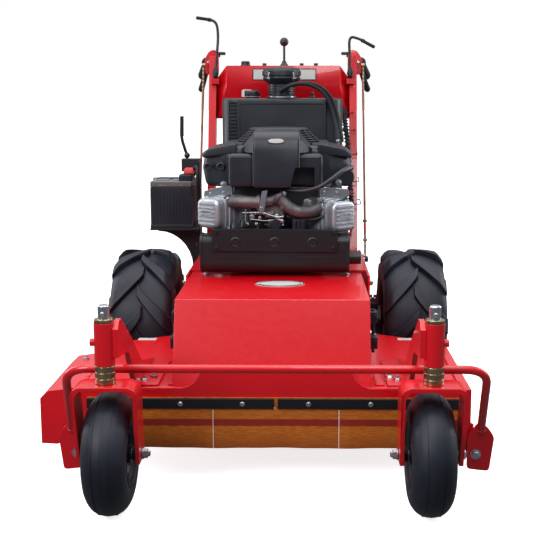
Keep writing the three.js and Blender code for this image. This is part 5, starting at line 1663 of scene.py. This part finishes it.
def battery():
    """The battery on its shelf, with its lid, strap, cables and terminal cap."""
    low, high = reach_of("battery")
    piece("battery_shelf", Form("black_paint").cad("battery_tray", 1.4, 2), "chassis", "battery_tray")
    case = Form("black_plastic")
    case.block(low.x, high.x, low.y, high.y, low.z, 668, 5)
    rib = Form("black_plastic").block(low.x + 8, low.x + 12, low.y - 1.2, low.y + 2, low.z + 12, 655, 0.8)
    rows(case, rib, 12, ((high.x - low.x - 20) / 11, 0, 0))
    rib = Form("black_plastic").block(low.x - 1.2, low.x + 2, low.y + 10, low.y + 14, low.z + 12, 655, 0.8)
    rows(case, rib, 12, (0, (high.y - low.y - 24) / 11, 0))
    case.block(low.x - 1, high.x - 0.2, low.y - 1, high.y + 1, low.z, low.z + 12, 2)
    case.block(high.x - 42, high.x - 2, low.y + 12, low.y + 66, 676, 702, 4)
    piece("battery_case", case, "chassis", "battery")
    lid = Form("battery_lid")
    lid.block(low.x + 0.5, high.x - 0.5, low.y + 0.5, high.y - 0.5, 670.5, 681.6, 2.5)
    for x in (low.x + 34, low.x + 84):
        lid.plate(softened([(x - 20, low.y + 34), (x + 20, low.y + 34), (x + 20, high.y - 34),
                            (x - 20, high.y - 34)], 8, 4), 681, 684, "z", 1)
    piece("battery_top", lid, "chassis")
    band = Form("zinc_plate").block(low.x - 0.8, high.x - 0.6, low.y - 0.8, high.y + 0.8, 667.6, 670.8, 0.8)
    piece("battery_seam", band, "chassis")
    red = Form("red_plastic")
    foot = [(x, y, z) for x in (-300, -268) for y in (-38, 0) for z in (702, 712)]
    crown = [(x, y, 722) for x in (-296, -272) for y in (-32, -6)]
    red.hull(foot + crown, 3, 3)
    piece("terminal_cap", red, "chassis")
    cable = Form("hose_rubber")
    plus = [(-276, -14, 712), (-262, -22, 726), (-256, -40, 715), (-256, -54, 680), (-256, -60, 620),
            (-252, -64, 560)]
    minus = [(-284, 96, 686), (-272, 84, 702), (-262, 60, 706), (-256, 30, 690), (-256, 4, 640),
             (-254, -20, 560)]
    for route in (plus, minus):
        cable.tube(smooth_line(route, 6), 4.6, 0, 12)
    piece("battery_cables", cable, "chassis")
    strap = Form("black_paint")
    strap.block(low.x - 3, high.x - 1, 34, 52, 683.4, 686, 0.8)
    strap.block(low.x - 3.4, low.x - 1.2, 34, 52, low.z - 4, 686, 0.8)
    piece("battery_strap", strap, "chassis")
    fixings = Form("steel")
    bolts(fixings, [(low.x - 3.4, 43, 560)], (-1, 0, 0), 10, 7, 16)
    bolts(fixings, [(-268, 36, z) for z in (410, 470, 520)], (-1, 0, 0), 12, 8, 20)
    piece("battery_fixings", fixings, "chassis")


framework()
tank()
filler()
canister()
hoses()
wiring()
console()
handles()
small_levers()
battery()


# ---- Studio ----
def studio():
    """A white floor and room, soft lights and the camera."""
    floor = bpy.data.meshes.new("studio_floor")
    reach = 90.0
    floor.from_pydata([(x * reach, y * reach, 0) for x, y in ((-1, -1), (1, -1), (1, 1), (-1, 1))], [],
                      [(0, 1, 2, 3)])
    floor.materials.append(FINISHES["studio_paper"])
    ground = bpy.data.objects.new("studio_floor", floor)
    bpy.context.scene.collection.objects.link(ground)
    ground.visible_diffuse = False
    ground.visible_glossy = False

    world = bpy.data.worlds.new("studio_room")
    bpy.context.scene.world = world
    world.use_nodes = True
    tree = world.node_tree
    way = add_node(tree, "ShaderNodeTexCoord")
    split = add_node(tree, "ShaderNodeSeparateXYZ", None, {0: way.outputs["Generated"]})
    stops = [(0.0, (0.13, 0.145, 0.17, 1)), (0.36, (0.2, 0.22, 0.26, 1)), (0.58, (0.4, 0.41, 0.43, 1)),
             (1.0, (0.46, 0.47, 0.5, 1))]
    share = add_node(tree, "ShaderNodeMapRange", None,
                     {"Value": split.outputs["Y"], "From Min": -1.0, "From Max": 1.0})
    walls = add_node(tree, "ShaderNodeValToRGB", {"stops": stops}, {0: share.outputs[0]})
    ceiling = add_node(tree, "ShaderNodeMapRange", None,
                       {"Value": split.outputs["Z"], "From Min": 0.4, "From Max": 0.8})
    above = add_node(tree, "ShaderNodeMix", {"data_type": "RGBA"},
                     {0: ceiling.outputs[0], 6: walls.outputs[0], 7: (1.0, 1.0, 1.02, 1)})
    underfoot = add_node(tree, "ShaderNodeMapRange", None,
                         {"Value": split.outputs["Z"], "From Min": -0.16, "From Max": -0.02})
    below = add_node(tree, "ShaderNodeMix", {"data_type": "RGBA"},
                     {0: underfoot.outputs[0], 6: (0.14, 0.14, 0.15, 1),
                                                                   7: above.outputs[2]})
    ray = add_node(tree, "ShaderNodeLightPath")
    seen = add_node(tree, "ShaderNodeMix", {"data_type": "RGBA"},
                    {0: ray.outputs["Is Camera Ray"], 6: below.outputs[2],
                                                                  7: (1, 1, 1, 1)})
    tree.links.new(seen.outputs[2], tree.nodes["Background"].inputs["Color"])

    def softbox(name, place, size, power, target=(0.0, 0.0, 0.45)):
        light = bpy.data.lights.new(name, "AREA")
        light.shape = "RECTANGLE"
        light.size, light.size_y = size
        light.energy = power
        lamp = bpy.data.objects.new(name, light)
        lamp.location = place
        lamp.rotation_euler = (Vector(target) - Vector(place)).to_track_quat("-Z", "Y").to_euler()
        bpy.context.scene.collection.objects.link(lamp)

    softbox("overhead_softbox", (0.0, 0.1, 3.4), (3.4, 3.0), 64)
    softbox("key_softbox", (-1.9, -2.9, 2.3), (1.4, 1.4), 60)
    softbox("console_fill", (0.3, -1.3, 1.5), (0.5, 0.5), 7, (0.0, 0.6, 1.02))
    softbox("left_strip", (2.6, 0.8, 1.5), (0.7, 2.2), 34)
    softbox("right_strip", (-2.6, 0.8, 1.5), (0.7, 2.2), 34)

    camera = bpy.data.cameras.new("camera")
    camera.lens = 68.353
    camera.sensor_width = 36
    camera.shift_x = -0.0465
    viewer = bpy.data.objects.new("camera", camera)
    viewer.location = placed(78, -3221, 933)
    viewer.rotation_euler = (math.radians(90 - 9.343), 0, math.radians(0.7))
    bpy.context.scene.collection.objects.link(viewer)
    bpy.context.scene.camera = viewer
    bpy.context.scene.view_settings.view_transform = "Standard"


studio()
